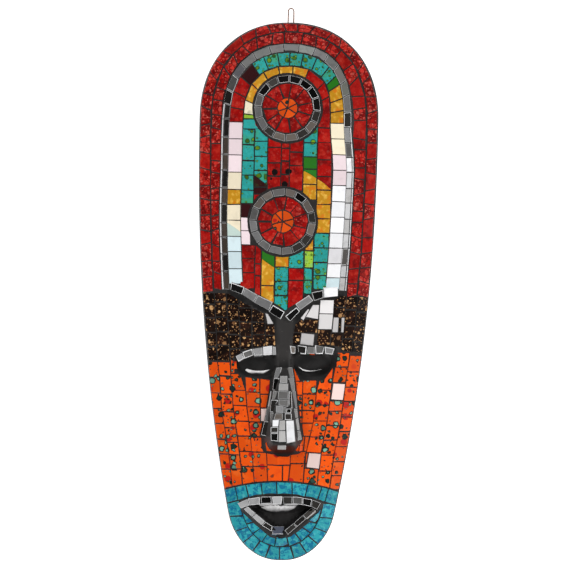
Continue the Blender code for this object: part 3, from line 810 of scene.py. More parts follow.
def crackled_red(start, place, base, figure):
    """Deep red with dark veins, pebbles that go pale and rosy here and there, and four black blots."""
    bend = 0.003
    bent = start.bent(place, 150, bend)
    chosen = start.cells(bent, 235)[1]
    base = (chosen.between(0.50, 1) * figure * 0.85).blend(base, (0.60, 0.036, 0.027))
    base = (chosen.between(0.45, 0) * figure * 0.85).blend(base, (0.150, 0.004, 0.004))
    shadows = start.noise(place, 130, 4)
    base = (shadows.between(0.52, 0.68) * 0.75).blend(base, (0.105, 0.002, 0.003))
    base = (shadows.between(0.46, 0.34) * 0.35).blend(base, (0.60, 0.045, 0.025))
    veins = start.node("TexVoronoi", {"Vector": bent, "Scale": 235}, feature="DISTANCE_TO_EDGE")
    base = (veins.between(0.10, 0.01) * figure * 0.85).blend(base, (0.070, 0.002, 0.003))
    for scale, least, strength in ((165, 0.50, 0.40), (310, 0.66, 0.50), (620, 0.80, 0.80)):
        off, chosen = start.drops(bent, scale, 0.18, 0.16)
        here = chosen.also("Green").between(least, least + 0.05) * figure
        pale = chosen.also("Blue").blend((0.56, 0.030, 0.022), (0.80, 0.20, 0.15))
        base = (off.between(0.03, -0.03) * here * strength).blend(base, pale)
        edge = off.between(0.09, 0.03) * off.between(-0.03, 0.01)
        base = (edge * here * 0.6).blend(base, (0.12, 0.003, 0.004))
    for x, down, radius in ((-12.4, 139.6, 3.1), (0.3, 139.2, 3), (-2.6, 151.2, 2.9), (-15.2, 146, 1.2)):
        middle = (x / 1000 + bend / 2, TOP_Y - down / 1000 + bend / 2, 0)
        away = start.vector("MULTIPLY", start.vector("SUBTRACT", bent, middle), (1, 1, 0))
        far = start.vector("LENGTH", away, output="Value")
        base = far.between(radius / 900, radius / 1150).blend(base, (0.006, 0.004, 0.004))
    return base


red_glass = pane_glass("crackled_red_glass", 1.29, 0.70, 1.24, crackled_red)
chance = random.Random(11)
for side, ends, outer, inner, skew, loose, seed in (
    ("outer", (-251, 252.5, 5, 14.3, 0.16), (-0.2, 0.1), (8, 10), 1.5, 0.8, 3),
    ("inner", (-248.5, 252.5, 15.5, 13.4, 0.18), (8.6, 10.6), (18.9, 20.5), 1.6, 0.9, 5),
):
    loops = course(even_turns(*ends, chance), outer, inner, chance, skew, loose)
    red_panes = [(loop, DEEP_RED, 1 if chance.random() < 0.72 else 0.15, 0) for loop in loops]
    lay(f"border_{side}_tiles", f"border_{side}_course", red_panes, red_glass, seed)


# The arch of mirrors. Narrow strips of silvered glass with bright ground edges stand on the slope round the
# raised panel, so that each leg mirrors what is beside the mask. The tiles' tones are painted reflections,
# dark down the left leg and pale to white down the right, and their bright edges are painted highlights.
# Painted reflections: each mirror tile's tone stands for what it reflects, white where it mirrors the light,
# silver, grey, beige or brown in between, and black where it mirrors the dark.
SILVER = (0.80, 0.80, 0.81)
MIDDLE_REFLECTION = (0.66, 0.64, 0.62)
GREY_REFLECTION = (0.58, 0.57, 0.56)
DARK_REFLECTION = (0.15, 0.14, 0.13)
BROWN_REFLECTION = (0.56, 0.44, 0.36)
BEIGE_REFLECTION = (0.60, 0.52, 0.46)
BLACK_REFLECTION = (0.03, 0.03, 0.03)
WHITE = (0.93, 0.93, 0.95)
chance = random.Random(23)
turns = even_turns(-248.5, -90, 24.5, 16, 0.10, chance)
turns += even_turns(-90, 66, 24.5, 13.2, 0.10, chance)[1:]
turns += [81.5, 96, 110, 123.7, 137.5, 152.5, 166, 181, 194.5, 208, 224, 235, 247.5]
arch = course(turns, (19.8, 21.3), (28, 28.6), chance, 0.3)
# The right leg's tiles from the top down, as (painted reflection tone, silvering); the white ones stand for
# reflected light.
right_leg = [(GREY_REFLECTION, 0.9), (DARK_REFLECTION, 1), (SILVER, 0.8), (GREY_REFLECTION, 1), (WHITE, 0.15), (WHITE, 0.15)]
right_leg += [(GREY_REFLECTION, 0.9), (SILVER, 0.8), (GREY_REFLECTION, 0.9), (SILVER, 0.9), (DARK_REFLECTION, 1), (SILVER, 0.8)]
right_leg += [(GREY_REFLECTION, 0.8), (SILVER, 0.8)]
arch_tiles = []
for turn, loop in zip(turns, arch):
    if turn < -88:
        tone, silvering = chance.choice([BROWN_REFLECTION, BROWN_REFLECTION, DARK_REFLECTION]), 1
    elif turn < -52:
        tone, silvering = chance.choice([DARK_REFLECTION, GREY_REFLECTION]), 1
    elif turn < 65:
        sheet = chance.choice([SILVER, MIDDLE_REFLECTION])
        tone, silvering = [part * chance.uniform(0.95, 1.05) for part in sheet], 1
    else:
        tone, silvering = right_leg.pop(0)
    # A painted highlight: a white strip down the outer edge of each leg, where the tiles' thick edges catch
    # the light.
    highlight_strip = 1.9 if turn < -88 else -1.7 if turn > 88 else 0
    if highlight_strip:
        edge = [loop[0], loop[1], (loop[1][0] + highlight_strip, loop[1][1]), (loop[0][0] + highlight_strip, loop[0][1])]
        arch_tiles.append((edge, WHITE, 1, 0.2))
        loop = [edge[3], edge[2], loop[2], loop[3]]
    # How pale each tile's ground edges are painted, a painted highlight.
    pale = 1 if tone is DARK_REFLECTION and turn > 0 else 0.8 if -88 < turn < -52 else 0.15 if turn < 0 else 0.3
    arch_tiles.append((loop, tone, pale, silvering))
lay(
    "arch_mirrors", "arch_mirror_course", arch_tiles, mirror_glass, 7, joint=0.75, arris=0.4,
    level=0.3, proud=0.9,
)


# The forehead panel. Panes of back-painted glass in courses that follow the arch, then in upright columns
# round and between the medallions: turquoise with green drops, reds, gold, cream and shell white.
TURQUOISE = (0.024, 0.32, 0.30)
PANEL_RED = (0.315, 0.003, 0.002)
GOLD = (0.52, 0.245, 0.012)
GREEN = (0.022, 0.17, 0.012)
LIME = (0.30, 0.50, 0.035)
CREAM = (0.90, 0.80, 0.60)
SHELL = (0.84, 0.70, 0.73)
MIST = (0.66, 0.80, 0.84)
SEA_MIST = (0.60, 0.74, 0.68)
MAROON = (0.030, 0.003, 0.004)
PEARL = (0.70, 0.69, 0.71)


def many_paints(start, place, base, figure):
    """Many paints, a little cloudy. Green drops ringed darker sit on the turquoise, and gold is veined."""
    cloud = start.noise(place, 140, 4)
    base = (cloud.between(0.5, 0.75) * 0.35).blend(base, shaded(start, 0.62, 0.8))
    streaks = start.noise(place, 420, 3).between(0.6, 0.75) * 0.3
    base = streaks.blend(base, shaded(start, 1.15, 1.3))
    bent = start.bent(place, 120, 0.0025)
    gilt = figure.between(2.4, 2.8)
    base = (start.noise(place, 210, 4).between(0.46, 0.70) * gilt * 0.85).blend(base, (0.86, 0.52, 0.085))
    base = (start.noise(bent, 150, 3).between(0.52, 0.63) * gilt * 0.9).blend(base, (0.60, 0.17, 0.008))
    dotted = figure.between(0.1, 0.9) * (1 - gilt)
    for at, scale, detail, low, high, strength, tone in (
        (bent, 620, 4, 0.50, 0.68, 0.45, (0.010, 0.20, 0.17)),
        (place, 260, 3, 0.50, 0.70, 0.35, (0.045, 0.44, 0.42)),
        (place, 55, 2, 0.50, 0.66, 0.45, (0.07, 0.33, 0.06)),
    ):
        cloud = start.noise(at, scale, detail).between(low, high) * dotted
        base = (cloud * strength).blend(base, tone)
    height = start.node("SeparateXYZ", {0: place}, "Y")
    crowd = height.between(0.06, -0.01) + height.between(0.15, 0.19)
    for scale, least in ((118, 0.66), (235, 0.74), (520, 0.86)):
        off, chosen = start.drops(bent, scale, 0.16, 0.11)
        here = (chosen.also("Green") + crowd * 0.28).between(least, least + 0.02) * dotted
        base = (off.between(0.09, 0.03) * here * 0.9).blend(base, (0.005, 0.050, 0.016))
        green = chosen.also("Blue").blend((0.020, 0.060, 0.006), (0.17, 0.33, 0.012))
        base = (off.between(0, -0.06) * here).blend(base, green)
    return base


def clipped(loop, keep=None, drop=()):
    """The parts of a loop inside the loop keep and outside the loops drop."""
    spots, triangles = triangles_of([loop] + ([keep] if keep else []) + list(drop))
    kept = []
    for triangle, middle in triangles:
        if inside(loop, *middle) and (not keep or inside(keep, *middle)):
            if not any(inside(line, *middle) for line in drop):
                kept.append(triangle)
    return [part for part in outlines(spots, kept) if abs(area_of(part)) > 5]


def column(left, right, cuts):
    """Quadrangles down a strip between two lines, cut at these heights. A line is spots, or one x."""
    def line(side, down):
        if isinstance(side, (int, float)):
            return side
        return float(np.interp(down, [spot[1] for spot in side], [spot[0] for spot in side]))

    corners = ((left, 0), (right, 0), (right, 1), (left, 1))
    return [[(line(side, ends[k]), ends[k]) for side, k in corners] for ends in zip(cuts, cuts[1:])]


def circle(centre, radius):
    turns = np.radians(np.arange(0, 360, 9))
    return [(centre[0] + radius * math.sin(turn), centre[1] - radius * math.cos(turn)) for turn in turns]


def loosened(loops, chance, by=0.35):
    """The same quadrangles with their corners a little out of true, as hand-cut panes are."""
    return [[tuple(part + chance.uniform(-by, by) for part in spot) for spot in loop] for loop in loops]


painted = pane_glass("painted_glass", 1.36, 0.88, 1.08, many_paints)
chance = random.Random(31)
rings = [circle(UPPER_MEDALLION, RING_RADIUS + 0.4), circle(LOWER_MEDALLION, RING_RADIUS + 0.4)]
inner_turns = even_turns(-246, 246, 41.1, 6, 0, chance)
v_line = [(x, float(v_edge(x, 0)) - 0.4) for x in np.linspace(50, -50, 21)]
core_room = [spot_at(turn, border_inset(turn, 41.1, 41.1)) for turn in inner_turns if abs(turn) < 244]
core_room += v_line


def split(loop, line):
    """The parts of a pane above and below a line, each so much larger that no joint opens there."""
    half = JOINT / 2 - 0.03
    upper = [(x, down + half) for x, down in line] + [(line[-1][0], 60), (line[0][0], 60)]
    lower = [(x, down - half) for x, down in line] + [(line[-1][0], 300), (line[0][0], 300)]
    return [(clipped(loop, room) or [[]])[0] for room in (upper, lower)]


# (turn where a stretch ends, number of tiles in it, paint), from the left leg's foot round to the right one
COURSE_START = -243
COURSE = [
    (-199, 3, MIST), (-184, 1, SEA_MIST), (-169.5, 1, CREAM), (-155.5, 1, GOLD), (-139.5, 1, CREAM),
    (-93, 3, SHELL), (-49.3, 3, PANEL_RED), (-34.6, 1, MAROON), (23.3, 5, TURQUOISE), (36, 1, TURQUOISE),
    (46, 1, TURQUOISE), (53.8, 1, GREEN), (92.5, 3, GOLD), (121.5, 2, CREAM), (150, 2, SHELL),
    (208, 4, WHITE), (222.5, 1, PEARL), (235.5, 1, WHITE), (246, 1, MIST),
]
FIGURES = {TURQUOISE: 1, GOLD: 3}
panel = []
start = COURSE_START
for end, count, paint in COURSE:
    stretch = [start + (end - start) * k / count for k in range(count + 1)]
    stretch[1:-1] = [turn + chance.uniform(-0.7, 0.7) for turn in stretch[1:-1]]
    for loop in course(stretch, (28.3, 28.3), (41, 41), chance, 0.2):
        if paint is SEA_MIST:
            halves = split(loop, trace("-60 185.5  -54 188  -48 192  -40 198"))
            panel += [(halves[0], CREAM, 0, 0), (halves[1], SEA_MIST, 0, 0)]
        else:
            panel.append((loop, paint, FIGURES.get(paint, 0), 0))
    start = end

INNER_COURSE = [
    (-90, TURQUOISE), (-83.5, LIME), (-67.2, CREAM), (-47.3, GOLD), (-29.3, GOLD), (-12.5, GOLD), (3.4, GOLD),
    (20.4, GOLD), (42.3, PANEL_RED), (58.8, PANEL_RED), (81, PANEL_RED),
]
start = -99.5
for end, paint in INNER_COURSE:
    for loop in course([start, end], (41.2, 41.2), (56, 56), chance, 0.2):
        for part in clipped(loop, None, rings):
            panel.append((part, paint, 3 if paint is GOLD else 0.3, 0))
    start = end


def panes(left, right, cuts, paints, figure=0):
    """Add one column of panes, clear of the medallions and inside the panel's edge."""
    for loop, paint in zip(loosened(column(left, right, cuts), chance), paints):
        for part in clipped(loop, core_room, rings):
            panel.append((part, paint, FIGURES.get(paint, figure), 0))


def swirled_panes(left, right, cuts, line, above, below):
    """Add panes whose glass changes its paint at a line of (x, down), with no joint there."""
    for loop in column(left, right, cuts):
        for part in clipped(loop, core_room, rings):
            for piece, paint in zip(split(part, line), (above, below)):
                panel.append((piece, paint, FIGURES.get(paint, 0.2), 0))


swirl = trace("10 136.5  13.5 137.5  20.5 141  27.2 145  33.5 149  40.8 155  45 160")
panes(-43.5, -31.5, [100.5, 115, 129.5, 143, 157, 169.5], [TURQUOISE] * 5)
panes(-43.5, -33.5, [169.5, 182, 194.5, 207.5], [MAROON, SHELL, SHELL])
panes(-31.5, -19, [88, 100], [PANEL_RED])
panes(-31.5, -19, [100, 111.5, 125.5], [TURQUOISE] * 2)
dark_corner = trace("-34 141.5  -31 143  -25 147.5  -19 152  -17 153")
swirled_panes(-31.5, -19, [125.5, 138.5, 154], dark_corner, TURQUOISE, MAROON)
panes(-31.5, -19, [154, 160.5, 168], [MAROON, PANEL_RED])
panes(-19, -6.5, [103, 117, 131.5, 143.5, 157], [PANEL_RED] * 4, 0.35)
panes(-6.5, 1.3, [108, 117.5, 129.5, 142, 157], [PANEL_RED] * 4, 0.35)
panes(1.3, 14, [103, 121, 133.5, 157], [PANEL_RED] * 3, 0.35)
panes(14, 27, [92, 112, 125], [TURQUOISE] * 2)
swirled_panes(14, 27, [125, 136.5, 150.5, 165], swirl, GREEN, GOLD)
panes(27, 40.6, [84, 98, 111.5, 127.5], [PANEL_RED] * 3)
swirled_panes(27, 40.6, [127.5, 143, 155.5], swirl, PANEL_RED, GOLD)
panes(27, 40.6, [155.5, 169, 182, 195.5], [GOLD] * 3)
panes(25.3, 39.6, [195.5, 209, 222.5, 234.5, 248], [TURQUOISE] * 4)
panes(17, 25.3, [197, 212, 228], [GOLD, LIME], 0.6)
panes(16.5, 24.4, [228, 239, 252], [TURQUOISE] * 2)
panes(-42.5, -29, [207.5, 220, 233.5, 248.5], [PANEL_RED] * 3, 0.2)
panes(-29, -23, [205, 225, 236, 256], [PANEL_RED] * 3)
green_foot = trace("-25 219  -23 220  -10.5 228.5  -8 230")
swirled_panes(-23, -10.5, [207, 245], green_foot, GREEN, GOLD)
panes(-23, -10.5, [245, 262], [GOLD])
panes(-10.5, 2.3, [212, 227.5], [GOLD])
panes(-10.5, 2.3, [227.5, 240.5, 254, 270], [TURQUOISE] * 3)
panes(2.3, 16.5, [212, 228.5], [TURQUOISE])
panes(2.3, 16.5, [228.5, 239.5, 267], [PANEL_RED] * 2)
pale_paints = (SHELL, MIST, SEA_MIST, CREAM, WHITE, PEARL)
pale_panel = [tile for tile in panel if tile[1] in pale_paints]
red_panel = [(tile[0], tile[1], 0.22, 0) for tile in panel if tile[1] is PANEL_RED]
other_panel = [tile for tile in panel if tile[1] is not PANEL_RED and tile[1] not in pale_paints]
lay("panel_tiles", "panel_glass_field", other_panel, painted, 9)
lay("panel_red_tiles", "panel_glass_field", red_panel, red_glass, 10)
lay("panel_pale_tiles", "panel_glass_field", pale_panel, painted, 12, joint=0.8, arris=0.2)


# The two medallions. Red wedges stand round an orange middle, and a ring of small mirrors frames each.
ORANGE = (0.82, 0.092, 0.006)


def dropped_orange(start, place, base, figure):
    """Orange paint with teal drops in black rings and with red ones, and with paler streaks."""
    cloud = start.noise(place, 110, 4)
    base = (cloud.between(0.5, 0.72) * figure * 0.6).blend(base, (0.64, 0.052, 0.008))
    base = (cloud.between(0.42, 0.28) * figure * 0.5).blend(base, (0.80, 0.16, 0.025))
    off, chosen = start.drops(start.bent(place, 260, 0.0016), 84, 0.15, 0.09)
    there = chosen.also("Green").between(0.72, 0.74) * figure
    base = (off.between(0.07, 0.03) * there * 0.6).blend(base, (0.25, 0.008, 0.005))
    base = (off.between(0.04, 0) * there * 0.9).blend(base, (0.46, 0.010, 0.010))
    outwards = start.math("ABSOLUTE", start.node("SeparateXYZ", {0: place}), 0) * 12
    crowd = (start.noise(place, 30, 1) + outwards).between(0.50, 0.95)
    bent = start.bent(place, 260, 0.0036)
    for scale, least, most in ((95, 0.86, 0.16), (165, 0.93, 0.16), (330, 1.08, 0.14)):
        off, chosen = start.drops(bent, scale, most, 0.09)
        here = (chosen.also("Green") + crowd * 0.35).between(least, least + 0.02) * figure
        base = (off.between(0.09, 0.05) * here).blend(base, (0.012, 0.014, 0.010))
        teal = chosen.also("Blue").between(0.3, 1).blend((0.010, 0.030, 0.026), (0.19, 0.42, 0.31))
        base = (off.between(-0.02, -0.07) * here).blend(base, teal)
    return base


orange_glass = pane_glass("dropped_orange_glass", 1.30, 0.78, 1.08, dropped_orange)


def wedges(centre, count, near, far, chance, start=0, loose=0.16):
    """Wedges round a centre, between two radii."""
    turns = [start + (k + chance.uniform(-loose, loose)) * 360 / count for k in range(count)]
    loops = []
    for first, last in zip(turns, turns[1:] + [turns[0] + 360]):
        arc = np.radians(np.linspace(first, last, max(2, round((last - first) / 12))))
        spots = [(far, a) for a in arc] + ([(near, arc[-1]), (near, arc[0])] if near else [(0, 0)])
        loops.append([(centre[0] + r * math.sin(a), centre[1] - r * math.cos(a)) for r, a in spots])
    return loops


def medallion(name, centre, orange_radius, wedge_count, ring_tones, seed):
    chance = random.Random(seed)
    middle = wedges(centre, 6, 0, orange_radius, chance, 10, 0.22)
    middle = [(loop, (0.66, 0.078, 0.007), 1, 0) for loop in middle]
    petals = wedges(centre, wedge_count, orange_radius, 23.5, chance, 8)
    petals = [(loop, PANEL_RED, chance.choice([0.2, 0.4, 0.7]), 0) for loop in loosened(petals, chance, 0.6)]
    lay(f"{name}_rosette_middle", f"{name}_medallion_rosette", middle, orange_glass, seed)
    lay(
        f"{name}_rosette_petals", f"{name}_medallion_rosette", petals, red_glass, seed + 2,
        joint=1.35,
    )
    ring = []
    # Each ring tile's tone in ring_tones is a painted reflection, and the black ones get ground edges painted
    # pale, a painted highlight.
    for k, loop in enumerate(wedges(centre, len(ring_tones), 24, RING_RADIUS - 0.6, chance, 3, 0.08)):
        pale = chance.uniform(0.6, 1) if ring_tones[k] is BLACK_REFLECTION else chance.uniform(0.1, 0.4)
        ring.append((loop, ring_tones[k], pale, 1))
    lay(
        f"{name}_ring_mirrors", f"{name}_medallion_mirror_ring", ring, mirror_glass,
        seed + 1, joint=0.9, arris=0.38, lean=0.08, level=0.3, proud=0.9,
    )


upper_tones = [BLACK_REFLECTION] * 4 + [DARK_REFLECTION, BEIGE_REFLECTION, DARK_REFLECTION, BEIGE_REFLECTION, BEIGE_REFLECTION, DARK_REFLECTION]
upper_tones += [SILVER, SILVER, GREY_REFLECTION, BLACK_REFLECTION, DARK_REFLECTION, BLACK_REFLECTION]
lower_tones = [BEIGE_REFLECTION, BLACK_REFLECTION, BEIGE_REFLECTION, DARK_REFLECTION, BEIGE_REFLECTION, DARK_REFLECTION, DARK_REFLECTION, GREY_REFLECTION]
lower_tones += [SILVER, GREY_REFLECTION, SILVER, SILVER, GREY_REFLECTION, BEIGE_REFLECTION, BEIGE_REFLECTION, GREY_REFLECTION]
medallion("upper", UPPER_MEDALLION, 9.6, 11, upper_tones, 41)
medallion("lower", LOWER_MEDALLION, 10.6, 11, lower_tones, 43)


# The mirrors along the panel's V-shaped lower edge. Their tones are painted reflections, the right one white
# for the reflected light, and their wide ground edges are painted pale as white lines, a painted highlight.
# (outline, painted reflection tone, how pale its painted edge highlight is, silvering)
v_mirrors = [
    (trace("-50.5 242.6  -38 247  -40.3 253.8  -51.5 249.8"), BLACK_REFLECTION, 1, 1),
    (trace("-37.8 247.3  -25.6 253.9  -29.3 260.8  -40 254"), SILVER, 0.4, 1),
    (trace("-25.5 254  -11.6 260.2  -15 268.3  -29.2 261"), SILVER, 0.5, 1),
    (trace("-11.6 262.6  -0.4 269  -4.2 276.2  -15.5 269.4"), BLACK_REFLECTION, 1, 1),
    (trace("0 273  10.4 264.4  14 268  4.8 278"), BLACK_REFLECTION, 1, 1),
    (trace("9.1 261.7  21.8 252.8  26 258.2  13.7 267.4"), SILVER, 0.6, 1),
    (trace("23.8 250.4  35 247.9  35.4 255.4  26.5 258.6"), BLACK_REFLECTION, 0.5, 1),
    (trace("35.3 246.3  48.7 244.9  48.9 253.8  35.5 255.4"), WHITE, 1, 0.1),
]
lay(
    "v_edge_tiles", "v_edge_mirrors", v_mirrors, mirror_glass, 51, arris=0.6, joint=0.4,
    level=0.3, proud=1.6,
)


# The dark bands beside the bridge of the nose. Nearly black brown glass over flakes of gold and tan, with a
# few pale panes that were set among them.
BROWN = (0.010, 0.005, 0.0035)


def flecked_brown(start, place, base, figure):
    """Brown-black paint, full of tan and gold flakes of many sizes."""
    ruddy = start.noise(place, 120, 3).between(0.5, 0.7) * figure * 0.5
    base = ruddy.blend(base, (0.045, 0.014, 0.008))
    bent = start.bent(place, 400, 0.003)
    for scale, least, most in ((150, 0.66, 0.24), (285, 0.60, 0.25), (560, 0.70, 0.22)):
        off, chosen = start.drops(bent, scale, most, 0.08)
        here = chosen.also("Green").between(least, least + 0.02) * figure
        base = (off.between(0.14, 0) * here * 0.5).blend(base, (0.075, 0.022, 0.012))
        gold = chosen.also("Blue").blend((0.14, 0.062, 0.026), (0.66, 0.38, 0.16))
        base = off.between(0.04, -0.06).blend(base, here.blend(base, gold))
    return base


brown_glass = pane_glass("flecked_brown_glass", 1.28, 0.5, 1.1, flecked_brown)
chance = random.Random(61)


def side_spots(side, start, end, inset=0.2):
    return [(side * (float(flank(down)) - inset), float(down)) for down in np.linspace(start, end, 8)]


brow_head = trace("52 252.8  40 260  28 266.3  17 271.8  9.5 280")
left_room = side_spots(-1, 316, 251.8) + [(-x, down) for x, down in brow_head]
left_room += trace("-8 300.6  -26 302.6  -38 306.5  -47 311.6  -50 316")
right_room = side_spots(1, 306.6, 253.6) + brow_head + trace("5.5 300  26 299.4  46 299.6  50 303.5")
pale_left = [trace("-18.6 270.3  -15.8 270.8  -10 280.4  -16.2 280.8")]
pale_right = [
    trace("32.4 257  45.3 257  44.8 270  31.6 270"),
    trace("31.6 270  44.8 270  43.6 284.6  30.8 284.6"),
    trace("25.6 261.6  31.7 261.6  30.9 275.4  18.9 273.4"),
    trace("21.2 265.2  22.6 266.4  17.4 276.8  14 274.6"),
    trace("15.4 287.9  27.8 289  26.9 300.3  14.2 298.9"),
    trace("44.9 273  50.2 273  49.6 287.2  43.8 287.2"),
    trace("52.4 273  55.6 273  54.8 287.2  52 287.2"),
]
left_lines = [
    [(-78, 250), (-70.5, 316)], [(-66.5, 250), (-62, 316)], [(-55.5, 250), (-50, 316)],
    [(-43.8, 250), (-40.5, 316)], [(-31.8, 255), (-29.5, 316)], [(-18.8, 266), (-17.6, 316)],
    [(-4, 266), (-4, 316)],
]
left_cuts = [
    [249, 263.5, 276, 289.5, 303, 318], [249, 261, 275, 288.5, 301, 317],
    [249, 263, 278, 291, 304, 317], [249, 266, 279, 292.5, 305],
    [255, 266.5, 279, 290.5, 303], [262, 279.5, 291, 303],
]
left_brow = []
for k, cuts in enumerate(left_cuts):
    for loop in loosened(column(left_lines[k], left_lines[k + 1], cuts), chance, 0.3):
        left_brow += [(part, BROWN, 1, 0) for part in clipped(loop, left_room, pale_left)]
lay("left_brow_tiles", "left_brow_field", left_brow, brown_glass, 63)

right_lines = [
    [(4, 262), (4, 310)], trace("17.2 270  17 287  13.8 288.5  13.4 310"),
    trace("32.4 256  30.8 284.5  29.8 310"), trace("45.3 256  43.6 285  41.9 310"),
    trace("57 250  54.8 290  52 306"), trace("67.6 250  65.6 280  62.7 306"),
    [(79, 250), (73, 310)],
]
right_cuts = [
    [276, 287.8, 300.5], [275.2, 288.4], [284.6, 300.5], [252, 263.8, 273.2, 287.2, 300.6],
    [249, 266, 281, 293, 306], [249, 268, 281, 295.5, 309],
]
right_brow = []
for k, cuts in enumerate(right_cuts):
    for loop in loosened(column(right_lines[k], right_lines[k + 1], cuts), chance, 0.3):
        right_brow += [(part, BROWN, 1, 0) for part in clipped(loop, right_room, pale_right)]
lay("right_brow_tiles", "right_brow_field", right_brow, brown_glass, 65)
right_tones = [0.78, 0.72, 0.78, 0.62, 0.52, 0.56, 0.5]
for side, loops, tones in (("left", pale_left, [0.52]), ("right", pale_right, right_tones)):
    pale_panes = [(loop, (tone, 0.97 * tone, 0.97 * tone), 0, 0) for loop, tone in zip(loops, tones)]
    lay(
        f"{side}_brow_pale_tiles", f"{side}_brow_field", pale_panes, painted, 66, joint=0.8,
        arris=0.2, level=0.3, proud=0.9,
    )


# The eyebrows. Five small mirrors over each eye, whose tones are painted reflections, a white one over the
# left eye. Some have ground edges painted pale and wide enough to frame them in white, a painted highlight.
# (outline, painted reflection tone, how pale its painted edge highlight is, silvering)
left_eyebrow = [
    (trace("-45.2 311  -39.2 307.2  -37.3 313  -42.6 316.2"), SILVER, 0.8, 0.6),
    (trace("-39 307  -29.9 303.6  -28.4 309.8  -37 313.3"), GREY_REFLECTION, 1, 1),
    (trace("-29.6 303.4  -20.3 301.7  -19.9 309.2  -28.2 309.9"), SILVER, 0.5, 0.8),
    (trace("-20 301.7  -11.3 300.4  -11.6 309.1  -19.7 309.7"), WHITE, 1, 0.1),
    (trace("-11 300.9  -7.9 301.4  -7.4 308.9  -11.4 309"), SILVER, 0.4, 0.8),
]
right_eyebrow = [
    (trace("5 299.8  10.6 300.8  10.4 307.4  6.2 307.3"), BEIGE_REFLECTION, 0.7, 0.9),
    (trace("11.8 299.3  20.4 300.2  19.9 307.9  12.9 307.4"), DARK_REFLECTION, 1, 1),
    (trace("20.5 300.3  28.2 300.4  28.3 307  21 306.9"), GREY_REFLECTION, 0.2, 1),
    (trace("28.3 298.8  37.3 300.2  35.9 307  28.9 307"), GREY_REFLECTION, 1, 1),
    (trace("37.3 300.3  46.7 301.8  44.7 307.9  37.7 307"), SILVER, 0.8, 1),
]
for side, mirrors in (("left", left_eyebrow), ("right", right_eyebrow)):
    lay(
        f"{side}_eyebrow_tiles", f"{side}_eyebrow_mirrors", mirrors, mirror_glass, 71,
        joint=0.3, arris=0.75, lean=0.06, level=0.6, proud=1.9 if side == "left" else 2.4,
    )


# The mirrors over the nose. Small odd cuts cover its ridge and both flanks down to the tip. Their tones are
# painted reflections, two of them white for the reflected light.
nose_tiles = [
    (trace("-7.2 320.6  -1.8 320  -4 330  -9.4 330.2"), SILVER),
    (trace("-9.4 330.4  -4 330.2  -5.6 342  -10.4 341.6"), BLACK_REFLECTION),
    (trace("-9.9 342  -5.2 342.3  -5.6 350.2  -10.6 350"), GREY_REFLECTION),
    (trace("-11.6 350.3  -4.6 350.4  -7 355.2  -7 362  -12.4 361.6"), DARK_REFLECTION),
    (trace("-12.4 342.4  -10.9 342.4  -12.7 357.2  -14.6 357.2"), WHITE),
    (trace("-14.9 357.6  -12.7 357.6  -11.4 370  -17.2 370.2"), SILVER),
    (trace("-12.4 362  -7.4 362.2  -9.6 368.2  -11.2 374.6"), GREY_REFLECTION),
    (trace("-17.4 370.4  -11.5 370.6  -11.5 384.8  -20.2 383.4"), DARK_REFLECTION),
    (trace("-3.4 328  3.3 328  3.4 334.8  -3.6 334.8"), GREY_REFLECTION),
    (trace("-4.4 335  4.3 335  4.4 341.9  -4.8 341.9"), GREY_REFLECTION),
    (trace("-4.9 342.1  4.6 342.1  4.5 349.6  -5.2 349.9"), GREY_REFLECTION),
    (trace("-4.4 350.1  4.6 349.9  4.8 356.6  -4.4 355.4"), GREY_REFLECTION),
    (trace("-6.8 355.4  0.4 356  0.4 362.4  -6.8 362.2"), SILVER),
    (trace("0.6 356.8  3 356.8  2.6 362.4  0.6 362.4"), GREY_REFLECTION),
    (trace("-7.4 362.6  -0.2 362.6  -0.2 368.4  -8.6 368.6"), BEIGE_REFLECTION),
    (trace("-9.9 368.6  -3.2 368.2  -4 375  -9.9 375.2"), WHITE),
    (trace("-11.3 375.4  -4.1 375.2  -4.1 380.5  -11.3 380.7"), DARK_REFLECTION),
    (trace("-11.3 381  -4.1 380.8  -4.2 388.6  -10.8 387.9"), BLACK_REFLECTION),
    (trace("-3.2 369  2.3 368.8  2.4 378.2  -3.7 378.4"), GREY_REFLECTION),
    (trace("-3.7 378.7  2.5 378.4  3.4 389  -3.8 389.2"), GREY_REFLECTION),
    (trace("-4.6 389.8  3.5 389.8  3.4 396.4  -4.6 396.4"), GREY_REFLECTION),
    (trace("2.3 320  7.8 320  9.6 329.6  3.6 329.8"), GREY_REFLECTION),
    (trace("3.8 330  9.7 329.9  10.9 341.8  4.8 341.9"), GREY_REFLECTION),
    (trace("4.9 342.2  7.4 342.2  8.6 357.8  5 357.8"), DARK_REFLECTION),
    (trace("7.7 342  11.4 342  13.2 357.4  8.9 358"), SILVER),
    (trace("3.1 358  7.6 358  7.6 362.2  2.8 362.2"), BLACK_REFLECTION),
    (trace("1.6 362.5  7.8 362.5  8.2 368.4  1.6 368.6"), DARK_REFLECTION),
    (trace("2.6 368.9  10.2 368.6  12 388.4  3.7 390.4"), WHITE),
    (trace("8.6 358.3  13.2 357.8  14.2 366.2  9 367.6"), GREY_REFLECTION),
    (trace("10.4 368  14.3 366.6  16 377.6  11.4 378.4"), GREY_REFLECTION),
    (trace("11.5 378.8  16.2 378  18.2 386.6  12.3 388.2"), GREY_REFLECTION),
]
chance = random.Random(81)
nose_mirrors = []
for loop, tone in nose_tiles:
    brightness = chance.uniform(0.75, 1.55)
    is_dark = tone in (DARK_REFLECTION, BLACK_REFLECTION)
    # Painted reflections: white tiles are mostly paint, and the grey ones get a chance brightness, the
    # brighter the less silvered.
    silvering = 0.15 if tone is WHITE else 1 if is_dark else 1.35 - 0.45 * brightness
    if tone is GREY_REFLECTION:
        tone = [part * brightness for part in tone]
    nose_mirrors.append((loop, tone, 1 if is_dark else 0.4, silvering))
